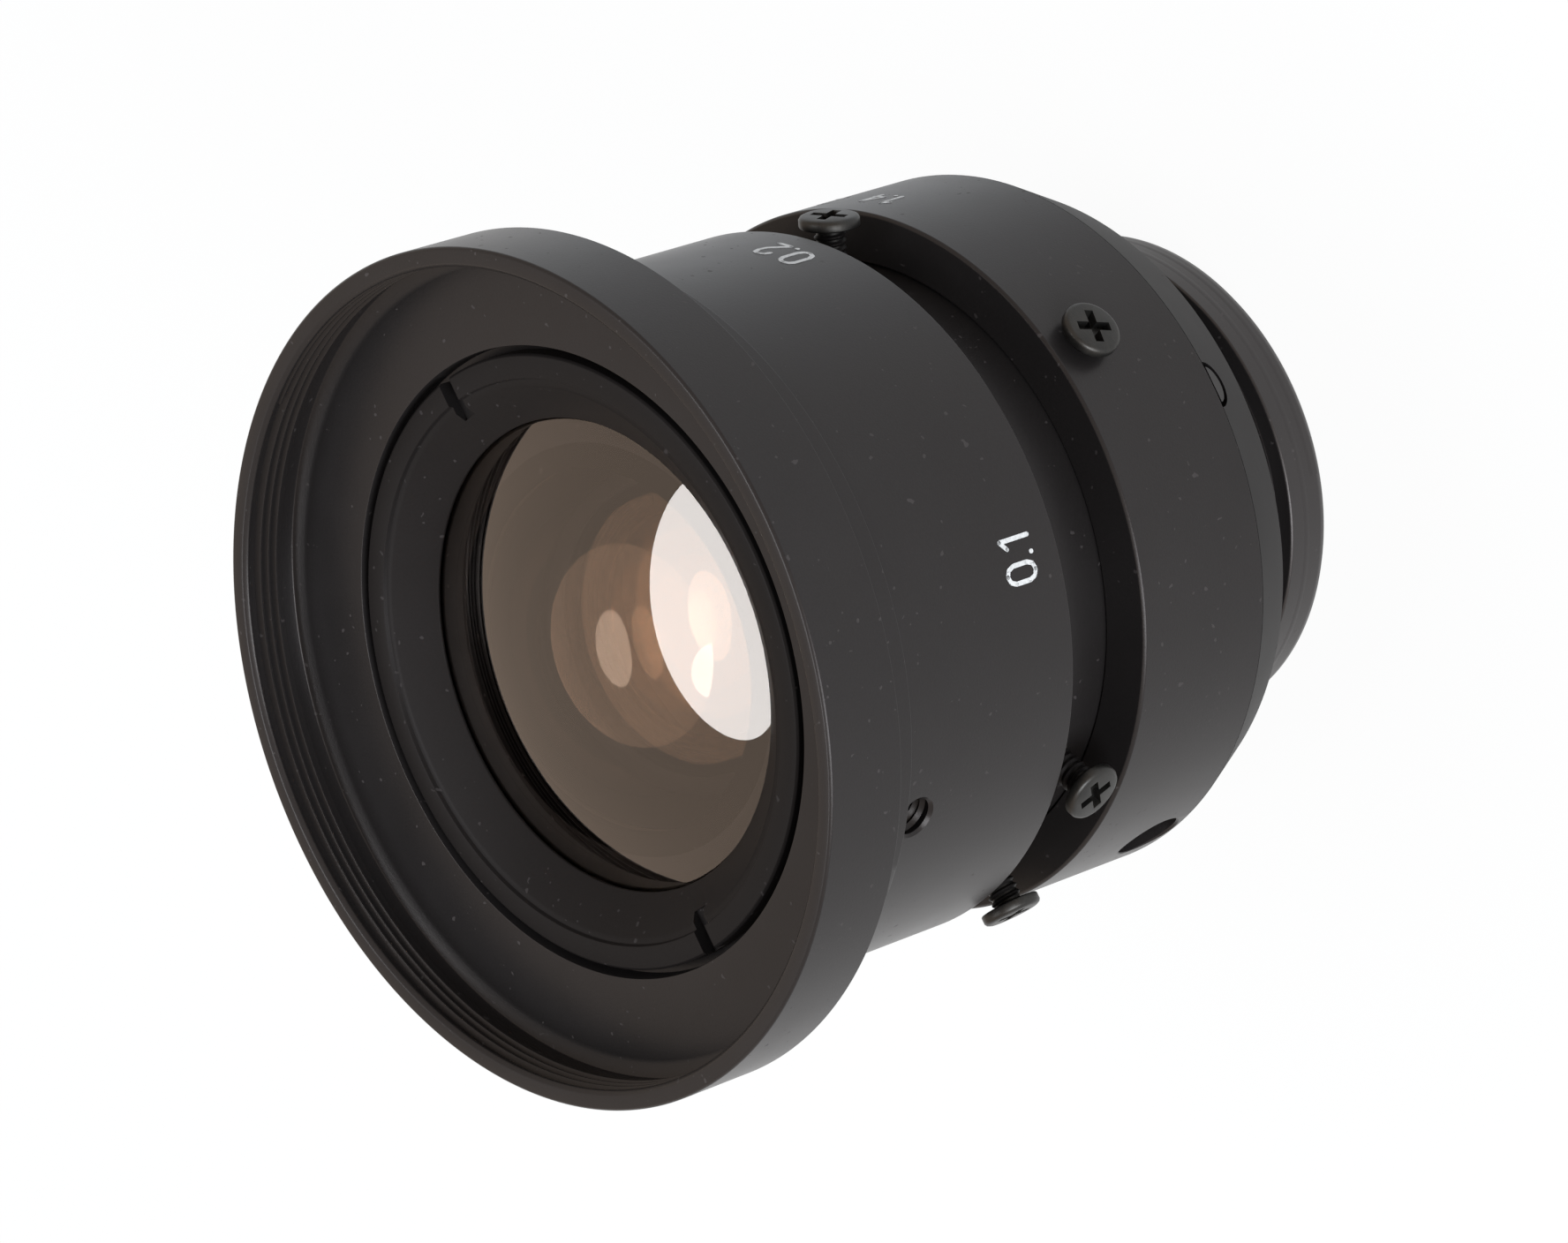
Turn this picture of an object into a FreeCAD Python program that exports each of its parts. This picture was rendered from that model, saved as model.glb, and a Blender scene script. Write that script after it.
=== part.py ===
import FreeCAD, Part
import math
import os
import Sketcher

# Wide-angle machine-vision lens, standing on its rear end with the front glass up.
# +Z is the optical axis towards the front and Z = 0 is the rear end of the camera thread.
# Angles are counted about +Z from +X, in degrees. All lengths are in millimetres.

DRIVING_SIZES = [
    # camera thread, flange and rim
    ("thread_r", 12.7),
    ("thread_length", 3.8),
    ("thread_rounding", 1.0),
    ("relief_depth", 0.95),
    ("relief_length", 2.4),
    ("flange_step", 1.5),
    ("flange_height", 2.1),
    ("mount_wall", 2.1),
    ("rim_taper", 1.4),
    ("rim_height", 3.25),
    ("rim_lip_height", 0.25),
    ("rim_lip_step", 0.25),
    # iris ring and its seat
    ("iris_seam", 0.1),
    ("iris_ring_wall", 1.95),
    ("iris_ring_height", 8.27),
    ("iris_lip_height", 0.92),
    ("edge_chamfer", 0.25),
    # focus barrel and neck
    ("neck_wall", 1.3),
    ("neck_step", 0.65),
    ("neck_height", 4.7),
    ("neck_end_gap", 0.15),
    ("neck_floor_height", 1.2),
    ("barrel_step", 0.1),
    ("barrel_wall", 2.1),
    ("barrel_height", 12.2),
    ("focus_gap", 0.18),
    ("helicoid_gap", 0.72),
    ("guide_tube_wall", 1.3),
    # hood
    ("collar_step", 1.5),
    ("collar_height", 2.5),
    ("hood_step", 1.8),
    ("hood_height", 4.5),
    ("hood_wall", 1.0),
    ("hood_chamfer", 0.3),
    ("filter_thread_length", 2.6),
    ("filter_relief_depth", 0.35),
    ("hood_corner_step", 0.5),
    ("hood_recess_depth", 3.65),
    ("hood_well_wall", 0.9),
    ("hood_well_depth", 1.1),
    # lens cell
    ("cell_r", 12.6),
    ("cell_neck_step", 1.0),
    ("front_seat_wall", 0.15),
    ("stack_wall", 2.1),
    ("shoulder_lip", 2.5),
    ("rear_bore_wall", 1.25),
    ("helicoid_length", 6.0),
    ("stack_lip", 2.0),
    ("cell_floor_gap", 1.8),
    ("cell_end_gap", 0.9),
    # glass
    ("front_glass_edge", 2.35),
    ("front_glass_sag", 2.9),
    ("front_glass_middle", 1.3),
    ("front_glass_hollow_r", 8.3),
    ("front_glass_lip", 0.75),
    ("opening_depth", 5.23),
    ("seat_to_glass", 0.57),
    ("front_spacer_length", 2.6),
    ("second_glass_edge", 1.9),
    ("second_glass_hollow", 0.55),
    ("middle_spacer_length", 2.2),
    ("third_glass_edge", 1.3),
    ("third_glass_bulge", 1.5),
    ("inner_spacer_length", 2.4),
    ("fourth_glass_edge", 1.4),
    ("fourth_glass_bulge", 0.7),
    ("iris_shoulder_length", 6.47),
    ("rear_glass_r", 7.6),
    ("rear_glass_lip", 0.9),
    ("crown_edge", 1.6),
    ("crown_bulge", 1.1),
    ("flint_edge", 2.2),
    ("flint_bulge", 0.8),
    ("rear_spacer_length", 1.9),
    ("rear_element_edge", 2.4),
    ("rear_element_bulge", 1.0),
    ("rear_ring_length", 1.6),
    ("rear_nose_step", 1.55),
    ("rear_nose_end", 2.2),
    # front retaining ring
    ("front_ring_gap", 0.4),
    ("front_ring_land", 1.2),
    ("front_ring_groove_width", 0.45),
    ("front_ring_skirt", 1.0),
    ("front_ring_groove", 0.22),
    ("slot_width", 0.9),
    ("slot_depth", 0.7),
    ("slot_reach", 2.1),
    ("slot_angle", 112.5),
    # iris mechanism
    ("iris_plate", 0.7),
    ("iris_opening_r", 4.6),
    ("housing_wall", 1.1),
    ("blade_sheet", 0.09),
    ("blade_pitch", 0.15),
    ("blade_inner_r", 4.3),
    ("blade_outer_r", 6.8),
    ("pivot_circle_r", 7.8),
    ("blade_pin_r", 0.35),
    ("blade_ear_r", 0.7),
    ("blade_ear_angle", 7.0),
    ("cam_arm_angle", 17.0),
    ("cam_slot_clear_angle", 5.0),
    ("blade_span_angle", 140.0),
    ("cam_ring_bore_r", 5.2),
    ("cam_ring_height", 1.4),
    ("iris_turn_angle", 50.0),
    ("blade_turn_angle", 28.0),
    ("drive_pin_r", 0.4),
    ("retainer_height", 0.9),
    ("retainer_bore_r", 7.2),
    # screws, pins, holes and marks
    ("screw_head_r", 1.5),
    ("screw_head_height", 0.7),
    ("screw_head_rounding", 0.28),
    ("screw_shank_r", 0.8),
    ("lock_screw_height_above_shoulder", 2.35),
    ("iris_screw_height", 5.95),
    ("iris_screw_angle", 35.6),
    ("iris_screw_rise", 1.05),
    ("iris_screw_groove_depth", 0.6),
    ("pin_side_angle", 180.0),
    ("guide_pin_r", 0.75),
    ("guide_pin_height", 3.0),
    ("stop_pin_r", 0.35),
    ("stop_pin_length", 1.6),
    ("focus_back_angle", 46.6),
    ("focus_near_angle", 88.0),
    ("barrel_hole_r", 1.25),
    ("barrel_hole_drop", 2.17),
    ("barrel_hole_angle", -30.0),
    ("barrel_hole_chamfer", 0.2),
    ("collar_hole_r", 1.0),
    ("collar_hole_height", 1.6),
    ("collar_hole_angle", -34.5),
    ("ring_hole_r", 1.7),
    ("ring_hole_height", 1.85),
    ("ring_hole_angle", -61.4),
    ("plug_r", 0.95),
    ("plug_gap", 0.1),
    ("plug_depth", 0.8),
    ("plug_angle", 22.2),
    # clearances
    ("travel_room", 0.36),
    ("slot_end_room", 2.4),
    ("running_gap", 0.05),
    ("fit_gap", 0.02),
]

# Each focus lock screw with its angle and how far its head stands out beyond the barrel.
LOCK_SCREWS = [("focus_lock_screw_1", 79.3, 0.49), ("focus_lock_screw_2", -36.8, 0.60),
               ("focus_lock_screw_3", -66.4, 1.00)]
BLADES = 6
NO_LENGTH = 1e-9
SAME_PLACE = 1e-4
AXIS_X = FreeCAD.Vector(1, 0, 0)
AXIS_Y = FreeCAD.Vector(0, 1, 0)
AXIS_Z = FreeCAD.Vector(0, 0, 1)

doc = FreeCAD.newDocument("entocentric_lens")
sheet = doc.addObject("Spreadsheet::Sheet", "Sizes")


class Size:
    """A length or angle that holds its value and the spreadsheet expression it comes from."""

    def __init__(self, value, text):
        self.value = value
        self.text = text

    @staticmethod
    def of(other):
        return other if isinstance(other, Size) else Size(float(other), repr(float(other)))

    def __add__(self, other):
        other = Size.of(other)
        return Size(self.value + other.value, f"({self.text} + {other.text})")

    def __sub__(self, other):
        other = Size.of(other)
        return Size(self.value - other.value, f"({self.text} - {other.text})")

    def __mul__(self, other):
        other = Size.of(other)
        return Size(self.value * other.value, f"({self.text} * {other.text})")

    def __truediv__(self, other):
        other = Size.of(other)
        return Size(self.value / other.value, f"({self.text} / {other.text})")


class Sizes:
    """The cells of the spreadsheet, each as a Size under its alias."""


s = Sizes()
for row, (alias, number) in enumerate(DRIVING_SIZES, start=1):
    sheet.set(f"A{row}", alias)
    sheet.set(f"B{row}", repr(number))
    sheet.setAlias(f"B{row}", alias)
    setattr(s, alias, Size(number, f"Sizes.{alias}"))
doc.recompute()

# Radii, each built up from its neighbour's and the wall or step between them.
relief_r = s.thread_r - s.relief_depth
flange_r = s.thread_r + s.flange_step
mount_bore_r = s.thread_r - s.mount_wall
guide_tube_r = s.cell_r + s.guide_tube_wall
neck_r = guide_tube_r + s.neck_wall
iris_seat_r = neck_r + s.neck_step
iris_ring_r = iris_seat_r + s.iris_ring_wall
rim_rear_r = iris_ring_r - s.rim_taper
barrel_r = iris_ring_r - s.barrel_step
barrel_bore_r = barrel_r - s.barrel_wall
collar_r = barrel_r + s.collar_step
hood_r = collar_r + s.hood_step
filter_bore_r = hood_r - s.hood_wall
filter_relief_r = filter_bore_r + s.filter_relief_depth
hood_corner_r = filter_bore_r - s.hood_corner_step
cell_neck_r = barrel_bore_r - s.cell_neck_step
hood_well_r = cell_neck_r + s.hood_well_wall
front_seat_r = s.cell_r - s.front_seat_wall
stack_bore_r = s.cell_r - s.stack_wall
shoulder_bore_r = stack_bore_r - s.shoulder_lip
rear_bore_r = s.cell_r - s.rear_bore_wall
front_glass_r = front_seat_r - s.running_gap
opening_r = front_glass_r - s.front_glass_lip
front_ring_r = hood_well_r - s.front_ring_gap
front_ring_land_r = front_ring_r - s.front_ring_land
front_ring_cone_r = front_ring_land_r - s.front_ring_groove_width
front_ring_skirt_r = front_glass_r + s.front_ring_skirt
slot_inner_r = front_ring_r - s.slot_reach
housing_r = rear_bore_r - s.running_gap
housing_bore_r = housing_r - s.housing_wall
cam_ring_r = housing_bore_r - s.running_gap * 2
rear_nose_r = rear_bore_r - s.rear_nose_step
iris_screw_top_r = iris_ring_r + s.iris_screw_rise

# Heights along the axis, each built up from the rear end.
z_end = Size(0.0, "0.0")
z_relief = z_end + s.thread_length
z_flange = z_relief + s.relief_length
z_rim = z_flange + s.flange_height
z_seam = z_rim + s.rim_height
z_iris = z_seam + s.iris_seam
z_iris_top = z_iris + s.iris_ring_height
z_iris_lip = z_iris_top - s.iris_lip_height
z_seat_top = z_iris_lip - s.iris_seam
z_neck_end = z_seat_top + s.neck_end_gap
z_barrel = z_iris_top + s.neck_height
z_barrel_floor = z_barrel + s.neck_floor_height
z_barrel_top = z_barrel + s.barrel_height
z_collar = z_barrel_top + s.focus_gap
z_hood = z_collar + s.collar_height
z_front = z_hood + s.hood_height
z_recess = z_front - s.hood_recess_depth
z_well = z_recess - s.hood_well_depth
z_opening = z_front - s.opening_depth
z_glass_edge = z_opening - s.seat_to_glass
z_glass_seat = z_glass_edge - s.front_glass_edge
z_second = z_glass_seat - s.front_spacer_length
z_second_low = z_second - s.second_glass_edge
z_third = z_second_low - s.middle_spacer_length
z_third_low = z_third - s.third_glass_edge
z_fourth = z_third_low - s.inner_spacer_length
z_fourth_low = z_fourth - s.fourth_glass_edge
z_iris_shoulder = z_fourth_low - s.iris_shoulder_length
z_blades = z_iris_shoulder - s.iris_plate
z_cam_top = z_blades - s.blade_pitch * (BLADES + 0.5)
z_cam_low = z_cam_top - s.cam_ring_height
z_retainer = z_cam_low - s.running_gap * 2
z_retainer_low = z_retainer - s.retainer_height
z_base_floor = z_rim + s.cell_floor_gap
z_cell_end = z_base_floor + s.cell_end_gap

# Radii of the holes that other pieces fit in.
cell_bore_r = s.cell_r + s.running_gap
neck_bore_r = guide_tube_r + s.running_gap
iris_bore_r = iris_seat_r + s.running_gap
iris_lip_r = neck_r + s.running_gap * 2
helicoid_r = barrel_bore_r - s.running_gap
z_helicoid_top = z_collar - s.helicoid_gap
z_helicoid = z_helicoid_top - s.helicoid_length
z_guide_top = z_helicoid - s.helicoid_gap
z_drive = (z_cam_top + z_cam_low) / 2


def sketch_on(body, role, name):
    """A new sketch flat on one of the body's own origin planes."""
    sketch = body.newObject("Sketcher::SketchObject", name)
    plane = [feature for feature in body.Origin.OriginFeatures if feature.Role == role][0]
    sketch.AttachmentSupport = [(plane, "")]
    sketch.MapMode = "FlatFace"
    return sketch


def pin_point(sketch, geometry, end, across, up):
    """Ties one end of a line or arc to two sizes, counted from the sketch's origin."""
    for kind, size, axis in (("DistanceX", across, -2), ("DistanceY", up, -1)):
        if abs(size.value) < NO_LENGTH:
            sketch.addConstraint(Sketcher.Constraint("PointOnObject", geometry, end, axis))
            continue
        index = sketch.addConstraint(Sketcher.Constraint(kind, -1, 1, geometry, end, size.value))
        sketch.setExpression(f"Constraints[{index}]", size.text)


def outline(sketch, points, arcs=()):
    """A closed outline through the points; the sides in arcs are round, centred on the upright axis."""
    points = [(Size.of(across), Size.of(up)) for across, up in points]
    count = len(points)
    for i in range(count):
        a = FreeCAD.Vector(points[i][0].value, points[i][1].value, 0)
        b = FreeCAD.Vector(points[(i + 1) % count][0].value, points[(i + 1) % count][1].value, 0)
        if i not in arcs:
            sketch.addGeometry(Part.LineSegment(a, b), False)
            continue
        centre_y = (b.x ** 2 - a.x ** 2 + b.y ** 2 - a.y ** 2) / (2 * (b.y - a.y))
        centre = FreeCAD.Vector(0, centre_y, 0)
        radius = (a - centre).Length
        start = math.atan2(a.y - centre.y, a.x)
        end = math.atan2(b.y - centre.y, b.x)
        circle = Part.Circle(centre, AXIS_Z, radius)
        sketch.addGeometry(Part.ArcOfCircle(circle, min(start, end), max(start, end)), False)
    for i in range(count):
        j = (i + 1) % count
        first = ends_of(points, i, arcs)
        second = ends_of(points, j, arcs)
        sketch.addConstraint(Sketcher.Constraint("Coincident", i, first[1], j, second[0]))
    for i in range(count):
        if i in arcs:
            sketch.addConstraint(Sketcher.Constraint("PointOnObject", i, 3, -2))
        pin_point(sketch, i, ends_of(points, i, arcs)[0], *points[i])


def ends_of(points, side, arcs):
    """Which ends of this side come first and second, because an arc always runs anticlockwise."""
    if side not in arcs:
        return 1, 2
    a = points[side]
    b = points[(side + 1) % len(points)]
    centre_y = ((b[0].value ** 2 - a[0].value ** 2 + b[1].value ** 2 - a[1].value ** 2)
                / (2 * (b[1].value - a[1].value)))
    start = math.atan2(a[1].value - centre_y, a[0].value)
    end = math.atan2(b[1].value - centre_y, b[0].value)
    return (1, 2) if start < end else (2, 1)


def turned(label, points, arcs=()):
    """A body of revolution about Z from its half section: radius across, height up."""
    body = doc.addObject("PartDesign::Body", label)
    sketch = sketch_on(body, "XZ_Plane", f"{label}_section")
    outline(sketch, points, arcs)
    revolution = body.newObject("PartDesign::Revolution", f"{label}_turned")
    revolution.Profile = sketch
    revolution.ReferenceAxis = (sketch, ["V_Axis"])
    revolution.Angle = 360
    doc.recompute()
    return body


def grooved(body, name, points, angle=None, middle=None):
    """Cuts a groove about Z, all the way round or over an angle that is centred on the middle angle."""
    sketch = sketch_on(body, "XZ_Plane", f"{name}_section")
    outline(sketch, points)
    if middle is not None:
        sketch.AttachmentOffset = FreeCAD.Placement(FreeCAD.Vector(), FreeCAD.Rotation(AXIS_Y, middle.value))
        sketch.setExpression("AttachmentOffset.Rotation.Angle", middle.text)
    groove = body.newObject("PartDesign::Groove", name)
    groove.Profile = sketch
    groove.ReferenceAxis = (sketch, ["V_Axis"])
    groove.Angle = 360
    if angle is not None:
        groove.Midplane = True
        groove.Angle = angle.value
        groove.setExpression("Angle", angle.text)
    doc.recompute()
    return groove


def radial_sketch(body, name, angle):
    """A sketch whose normal points out from the axis at this angle, with Z up in it."""
    sketch = sketch_on(body, "YZ_Plane", name)
    sketch.AttachmentOffset = FreeCAD.Placement(FreeCAD.Vector(), FreeCAD.Rotation(AXIS_Y, angle.value))
    sketch.setExpression("AttachmentOffset.Rotation.Angle", angle.text)
    return sketch


def pocket_outwards(body, name, sketch, angle, inner, outer):
    """Cuts the sketch outwards at this angle, from the inner radius or the axis to the outer radius."""
    length = outer
    if inner is not None:
        length = outer - inner
        turn = math.radians(angle.value)
        offset = sketch.AttachmentOffset
        offset.Base = FreeCAD.Vector(inner.value * math.sin(turn), 0, inner.value * math.cos(turn))
        sketch.AttachmentOffset = offset
        sketch.setExpression("AttachmentOffset.Base.x", f"{inner.text} * sin({angle.text} * 1 deg)")
        sketch.setExpression("AttachmentOffset.Base.z", f"{inner.text} * cos({angle.text} * 1 deg)")
    pocket = body.newObject("PartDesign::Pocket", name)
    pocket.Profile = sketch
    pocket.Type = "Length"
    pocket.Reversed = True
    pocket.Length = length.value
    pocket.setExpression("Length", length.text)
    doc.recompute()
    return pocket


def radial_hole(body, name, angle, height, radius, outer, inner=None):
    """A round hole square to the axis, through the wall on one side only."""
    sketch = radial_sketch(body, f"{name}_circle", angle)
    circle = Part.Circle(FreeCAD.Vector(0, height.value, 0), AXIS_Z, radius.value)
    sketch.addGeometry(circle, False)
    sketch.addConstraint(Sketcher.Constraint("PointOnObject", 0, 3, -2))
    up = sketch.addConstraint(Sketcher.Constraint("DistanceY", -1, 1, 0, 3, height.value))
    sketch.setExpression(f"Constraints[{up}]", height.text)
    size = sketch.addConstraint(Sketcher.Constraint("Radius", 0, radius.value))
    sketch.setExpression(f"Constraints[{size}]", radius.text)
    return pocket_outwards(body, name, sketch, angle, inner, outer)


def radial_window(body, name, angle, low, high, width, outer, inner=None):
    """A straight-sided slot square to the axis, through the wall on one side only."""
    sketch = radial_sketch(body, f"{name}_outline", angle)
    half = width / 2
    left = Size(-half.value, f"(0 - {half.text})")
    outline(sketch, [(left, low), (half, low), (half, high), (left, high)])
    return pocket_outwards(body, name, sketch, angle, inner, outer)


def round_edges(body, kind, name, size, wanted):
    """Fillets or chamfers the body's round edges at the wanted (radius, height) places."""
    doc.recompute()
    base = body.Tip
    names = []
    for number, edge in enumerate(base.Shape.Edges, start=1):
        if not isinstance(edge.Curve, Part.Circle):
            continue
        centre = edge.Curve.Center
        for radius, height in wanted:
            miss = max(abs(edge.Curve.Radius - radius.value), abs(centre.z - height.value))
            if max(miss, math.hypot(centre.x, centre.y)) < SAME_PLACE:
                names.append(f"Edge{number}")
    feature = body.newObject(f"PartDesign::{kind}", name)
    feature.Base = (base, names)
    field = "Radius" if kind == "Fillet" else "Size"
    setattr(feature, field, size.value)
    feature.setExpression(field, size.text)
    doc.recompute()
    return feature


def stand_radially(body, angle, height):
    """Lays a body that was turned about Z along the radius at this angle and height."""
    turn = FreeCAD.Rotation(AXIS_Z, angle).multiply(FreeCAD.Rotation(AXIS_Y, 90))
    body.Placement = FreeCAD.Placement(FreeCAD.Vector(0, 0, height.value), turn)
    body.setExpression("Placement.Base.z", height.text)


def make_mount_base():
    """Camera thread, flange, rim and guide tube, turned as one piece."""
    body = turned("mount_base", [
        (mount_bore_r, z_end), (s.thread_r, z_end), (s.thread_r, z_relief),
        (relief_r, z_relief), (relief_r, z_flange), (flange_r, z_flange),
        (flange_r, z_rim), (rim_rear_r - s.rim_lip_step, z_rim),
        (rim_rear_r - s.rim_lip_step, z_rim + s.rim_lip_height),
        (rim_rear_r, z_rim + s.rim_lip_height), (iris_ring_r, z_seam), (iris_seat_r, z_seam),
        (iris_seat_r, z_seat_top), (guide_tube_r, z_seat_top), (guide_tube_r, z_guide_top),
        (cell_bore_r, z_guide_top), (cell_bore_r, z_base_floor), (mount_bore_r, z_base_floor)])
    round_edges(body, "Fillet", "mount_base_rear_rounding", s.thread_rounding, [(s.thread_r, z_end)])
    round_edges(body, "Chamfer", "mount_base_flange_chamfer", s.edge_chamfer, [(flange_r, z_flange)])
    groove_half = s.screw_shank_r + s.running_gap * 2
    z_screw = z_iris + s.iris_screw_height
    grooved(body, "mount_base_lock_groove", [
        (iris_seat_r - s.iris_screw_groove_depth, z_screw - groove_half),
        (iris_ring_r, z_screw - groove_half), (iris_ring_r, z_screw + groove_half),
        (iris_seat_r - s.iris_screw_groove_depth, z_screw + groove_half)])
    slot_half = s.drive_pin_r + s.travel_room
    grooved(body, "mount_base_drive_slot", [
        (mount_bore_r, z_drive - slot_half), (iris_ring_r, z_drive - slot_half),
        (iris_ring_r, z_drive + slot_half), (mount_bore_r, z_drive + slot_half)],
        drive_slot_angle(iris_seat_r))
    radial_hole(body, "mount_base_guide_hole", s.pin_side_angle, z_seam + s.guide_pin_height,
                s.guide_pin_r + s.fit_gap, iris_ring_r)
    radius_hole_down(body, "mount_base_stop_hole", stop_circle_r(), s.pin_side_angle, z_seat_top,
                     s.stop_pin_r + s.fit_gap, s.stop_pin_length / 2)
    pocket = radial_sketch(body, "mount_base_index_outline", s.plug_angle)
    half_round(pocket, s.plug_r + s.plug_gap, z_seam)
    pocket_outwards(body, "mount_base_index_pocket", pocket, s.plug_angle,
                    iris_ring_r - s.plug_depth, hood_r)
    return body


def slot_ends(pin_reach, radius):
    """The angle that a round pin needs at both ends of its slot together, on this circle."""
    ratio = s.slot_end_room * pin_reach / radius
    return Size(math.degrees(ratio.value), f"({ratio.text} * 180 / pi)")


def drive_slot_angle(radius):
    """The angle of a slot that lets the drive pin swing through the iris ring's whole turn."""
    return s.iris_turn_angle + slot_ends(s.drive_pin_r + s.running_gap, radius)


def stop_circle_r():
    """The circle that the focus stop pin stands on, in the middle of the neck's wall."""
    return (guide_tube_r + neck_r) / 2


def radius_hole_down(body, name, circle_r, angle, top, radius, depth):
    """A blind hole along -Z from the top, at this radius and angle."""
    sketch = sketch_on(body, "XY_Plane", f"{name}_circle")
    turn = math.radians(angle.value)
    across = Size(circle_r.value * math.cos(turn), f"({circle_r.text} * cos({angle.text} * 1 deg))")
    up = Size(circle_r.value * math.sin(turn), f"({circle_r.text} * sin({angle.text} * 1 deg))")
    sketch.AttachmentOffset = FreeCAD.Placement(FreeCAD.Vector(0, 0, top.value), FreeCAD.Rotation())
    sketch.setExpression("AttachmentOffset.Base.z", top.text)
    sketch.addGeometry(Part.Circle(FreeCAD.Vector(across.value, up.value, 0), AXIS_Z, radius.value), False)
    pin_point(sketch, 0, 3, across, up)
    size = sketch.addConstraint(Sketcher.Constraint("Radius", 0, radius.value))
    sketch.setExpression(f"Constraints[{size}]", radius.text)
    pocket = body.newObject("PartDesign::Pocket", name)
    pocket.Profile = sketch
    pocket.Type = "Length"
    pocket.Length = depth.value
    pocket.setExpression("Length", depth.text)
    doc.recompute()
    return pocket


def half_round(sketch, radius, flat):
    """A half disc whose straight side lies at this height and whose round side hangs below it."""
    centre = FreeCAD.Vector(0, flat.value, 0)
    circle = Part.Circle(centre, AXIS_Z, radius.value)
    sketch.addGeometry(Part.ArcOfCircle(circle, math.pi, 2 * math.pi), False)
    left = FreeCAD.Vector(-radius.value, flat.value, 0)
    right = FreeCAD.Vector(radius.value, flat.value, 0)
    sketch.addGeometry(Part.LineSegment(right, left), False)
    sketch.addConstraint(Sketcher.Constraint("Coincident", 0, 2, 1, 1))
    sketch.addConstraint(Sketcher.Constraint("Coincident", 0, 1, 1, 2))
    sketch.addConstraint(Sketcher.Constraint("PointOnObject", 0, 3, 1))
    sketch.addConstraint(Sketcher.Constraint("Horizontal", 1))
    pin_point(sketch, 0, 3, Size.of(0), flat)
    size = sketch.addConstraint(Sketcher.Constraint("Radius", 0, radius.value))
    sketch.setExpression(f"Constraints[{size}]", radius.text)


def make_index_plug():
    """Half-round index plug, let in flush with the rim's slope under the iris ring."""
    blank = doc.addObject("PartDesign::Body", "index_plug_blank")
    sketch = radial_sketch(blank, "index_plug_outline", s.plug_angle)
    half_round(sketch, s.plug_r, z_seam)
    inner = iris_ring_r - s.plug_depth + s.plug_gap
    pad = blank.newObject("PartDesign::Pad", "index_plug_pad")
    pad.Profile = sketch
    pad.Length = iris_ring_r.value
    pad.setExpression("Length", iris_ring_r.text)
    ring = turned("index_plug_envelope", [
        (inner, z_rim), (rim_rear_r, z_rim), (rim_rear_r, z_rim + s.rim_lip_height),
        (iris_ring_r, z_seam), (inner, z_seam)])
    plug = doc.addObject("Part::MultiCommon", "index_plug")
    plug.Shapes = [blank, ring]
    doc.recompute()
    return plug


def make_focus_retaining_ring():
    """Ring screwed on the guide tube, which keeps the focus barrel down."""
    low = z_barrel_floor + s.running_gap * 2
    return turned("focus_retaining_ring", [
        (guide_tube_r + s.fit_gap, low), (barrel_bore_r - s.focus_gap, low),
        (barrel_bore_r - s.focus_gap, z_guide_top - s.focus_gap),
        (guide_tube_r + s.fit_gap, z_guide_top - s.focus_gap)])


def make_guide_pin():
    """Radial pin that keeps the lens cell from turning in the mount base."""
    root = rear_bore_r + s.running_gap
    tip = iris_seat_r - s.running_gap
    pin = turned("guide_pin", [(0, root), (s.guide_pin_r, root), (s.guide_pin_r, tip), (0, tip)])
    stand_radially(pin, s.pin_side_angle.value, z_seam + s.guide_pin_height)
    return pin


def make_focus_stop_pin():
    """Upright pin that limits the focus barrel's turn."""
    low = z_seat_top - s.stop_pin_length / 2
    top = z_seat_top + s.stop_pin_length / 2 - s.running_gap * 2
    pin = turned("focus_stop_pin", [(0, low), (s.stop_pin_r, low), (s.stop_pin_r, top), (0, top)])
    pin.Placement = FreeCAD.Placement(FreeCAD.Vector(-stop_circle_r().value, 0, 0), FreeCAD.Rotation())
    pin.setExpression("Placement.Base.x", f"0 - {stop_circle_r().text}")
    return pin


def make_focus_barrel():
    """Plain focus barrel with its narrow neck, turned as one piece."""
    body = turned("focus_barrel", [
        (neck_bore_r, z_neck_end), (neck_r, z_neck_end), (neck_r, z_barrel), (barrel_r, z_barrel),
        (barrel_r, z_barrel_top), (barrel_bore_r, z_barrel_top), (barrel_bore_r, z_barrel_floor),
        (neck_bore_r, z_barrel_floor)])
    round_edges(body, "Chamfer", "focus_barrel_edges", s.edge_chamfer / 2,
                [(barrel_r, z_barrel), (barrel_r, z_barrel_top)])
    stop_turn = s.focus_back_angle + s.focus_near_angle
    pin_room = slot_ends(s.stop_pin_r, stop_circle_r())
    middle = s.pin_side_angle + (s.focus_back_angle - s.focus_near_angle) / 2
    notch_r = stop_circle_r() - s.stop_pin_r - s.running_gap
    notch_top = z_seat_top + s.stop_pin_length / 2
    grooved(body, "focus_barrel_stop_notch", [
        (notch_r, z_neck_end - s.edge_chamfer), (barrel_r, z_neck_end - s.edge_chamfer),
        (barrel_r, notch_top), (notch_r, notch_top)],
        stop_turn + pin_room, middle)
    for label, angle, _ in LOCK_SCREWS:
        radial_hole(body, f"focus_barrel_{label}_hole", Size.of(angle), lock_screw_height(),
                    s.screw_shank_r + s.running_gap, barrel_r)
    hole_height = z_barrel_top - s.barrel_hole_drop
    radial_hole(body, "focus_barrel_tapped_hole", s.barrel_hole_angle, hole_height, s.barrel_hole_r, hood_r)
    radial_hole(body, "focus_barrel_hole_chamfer", s.barrel_hole_angle, hole_height,
                s.barrel_hole_r + s.barrel_hole_chamfer, hood_r, barrel_r - s.barrel_hole_chamfer)
    return body


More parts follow.
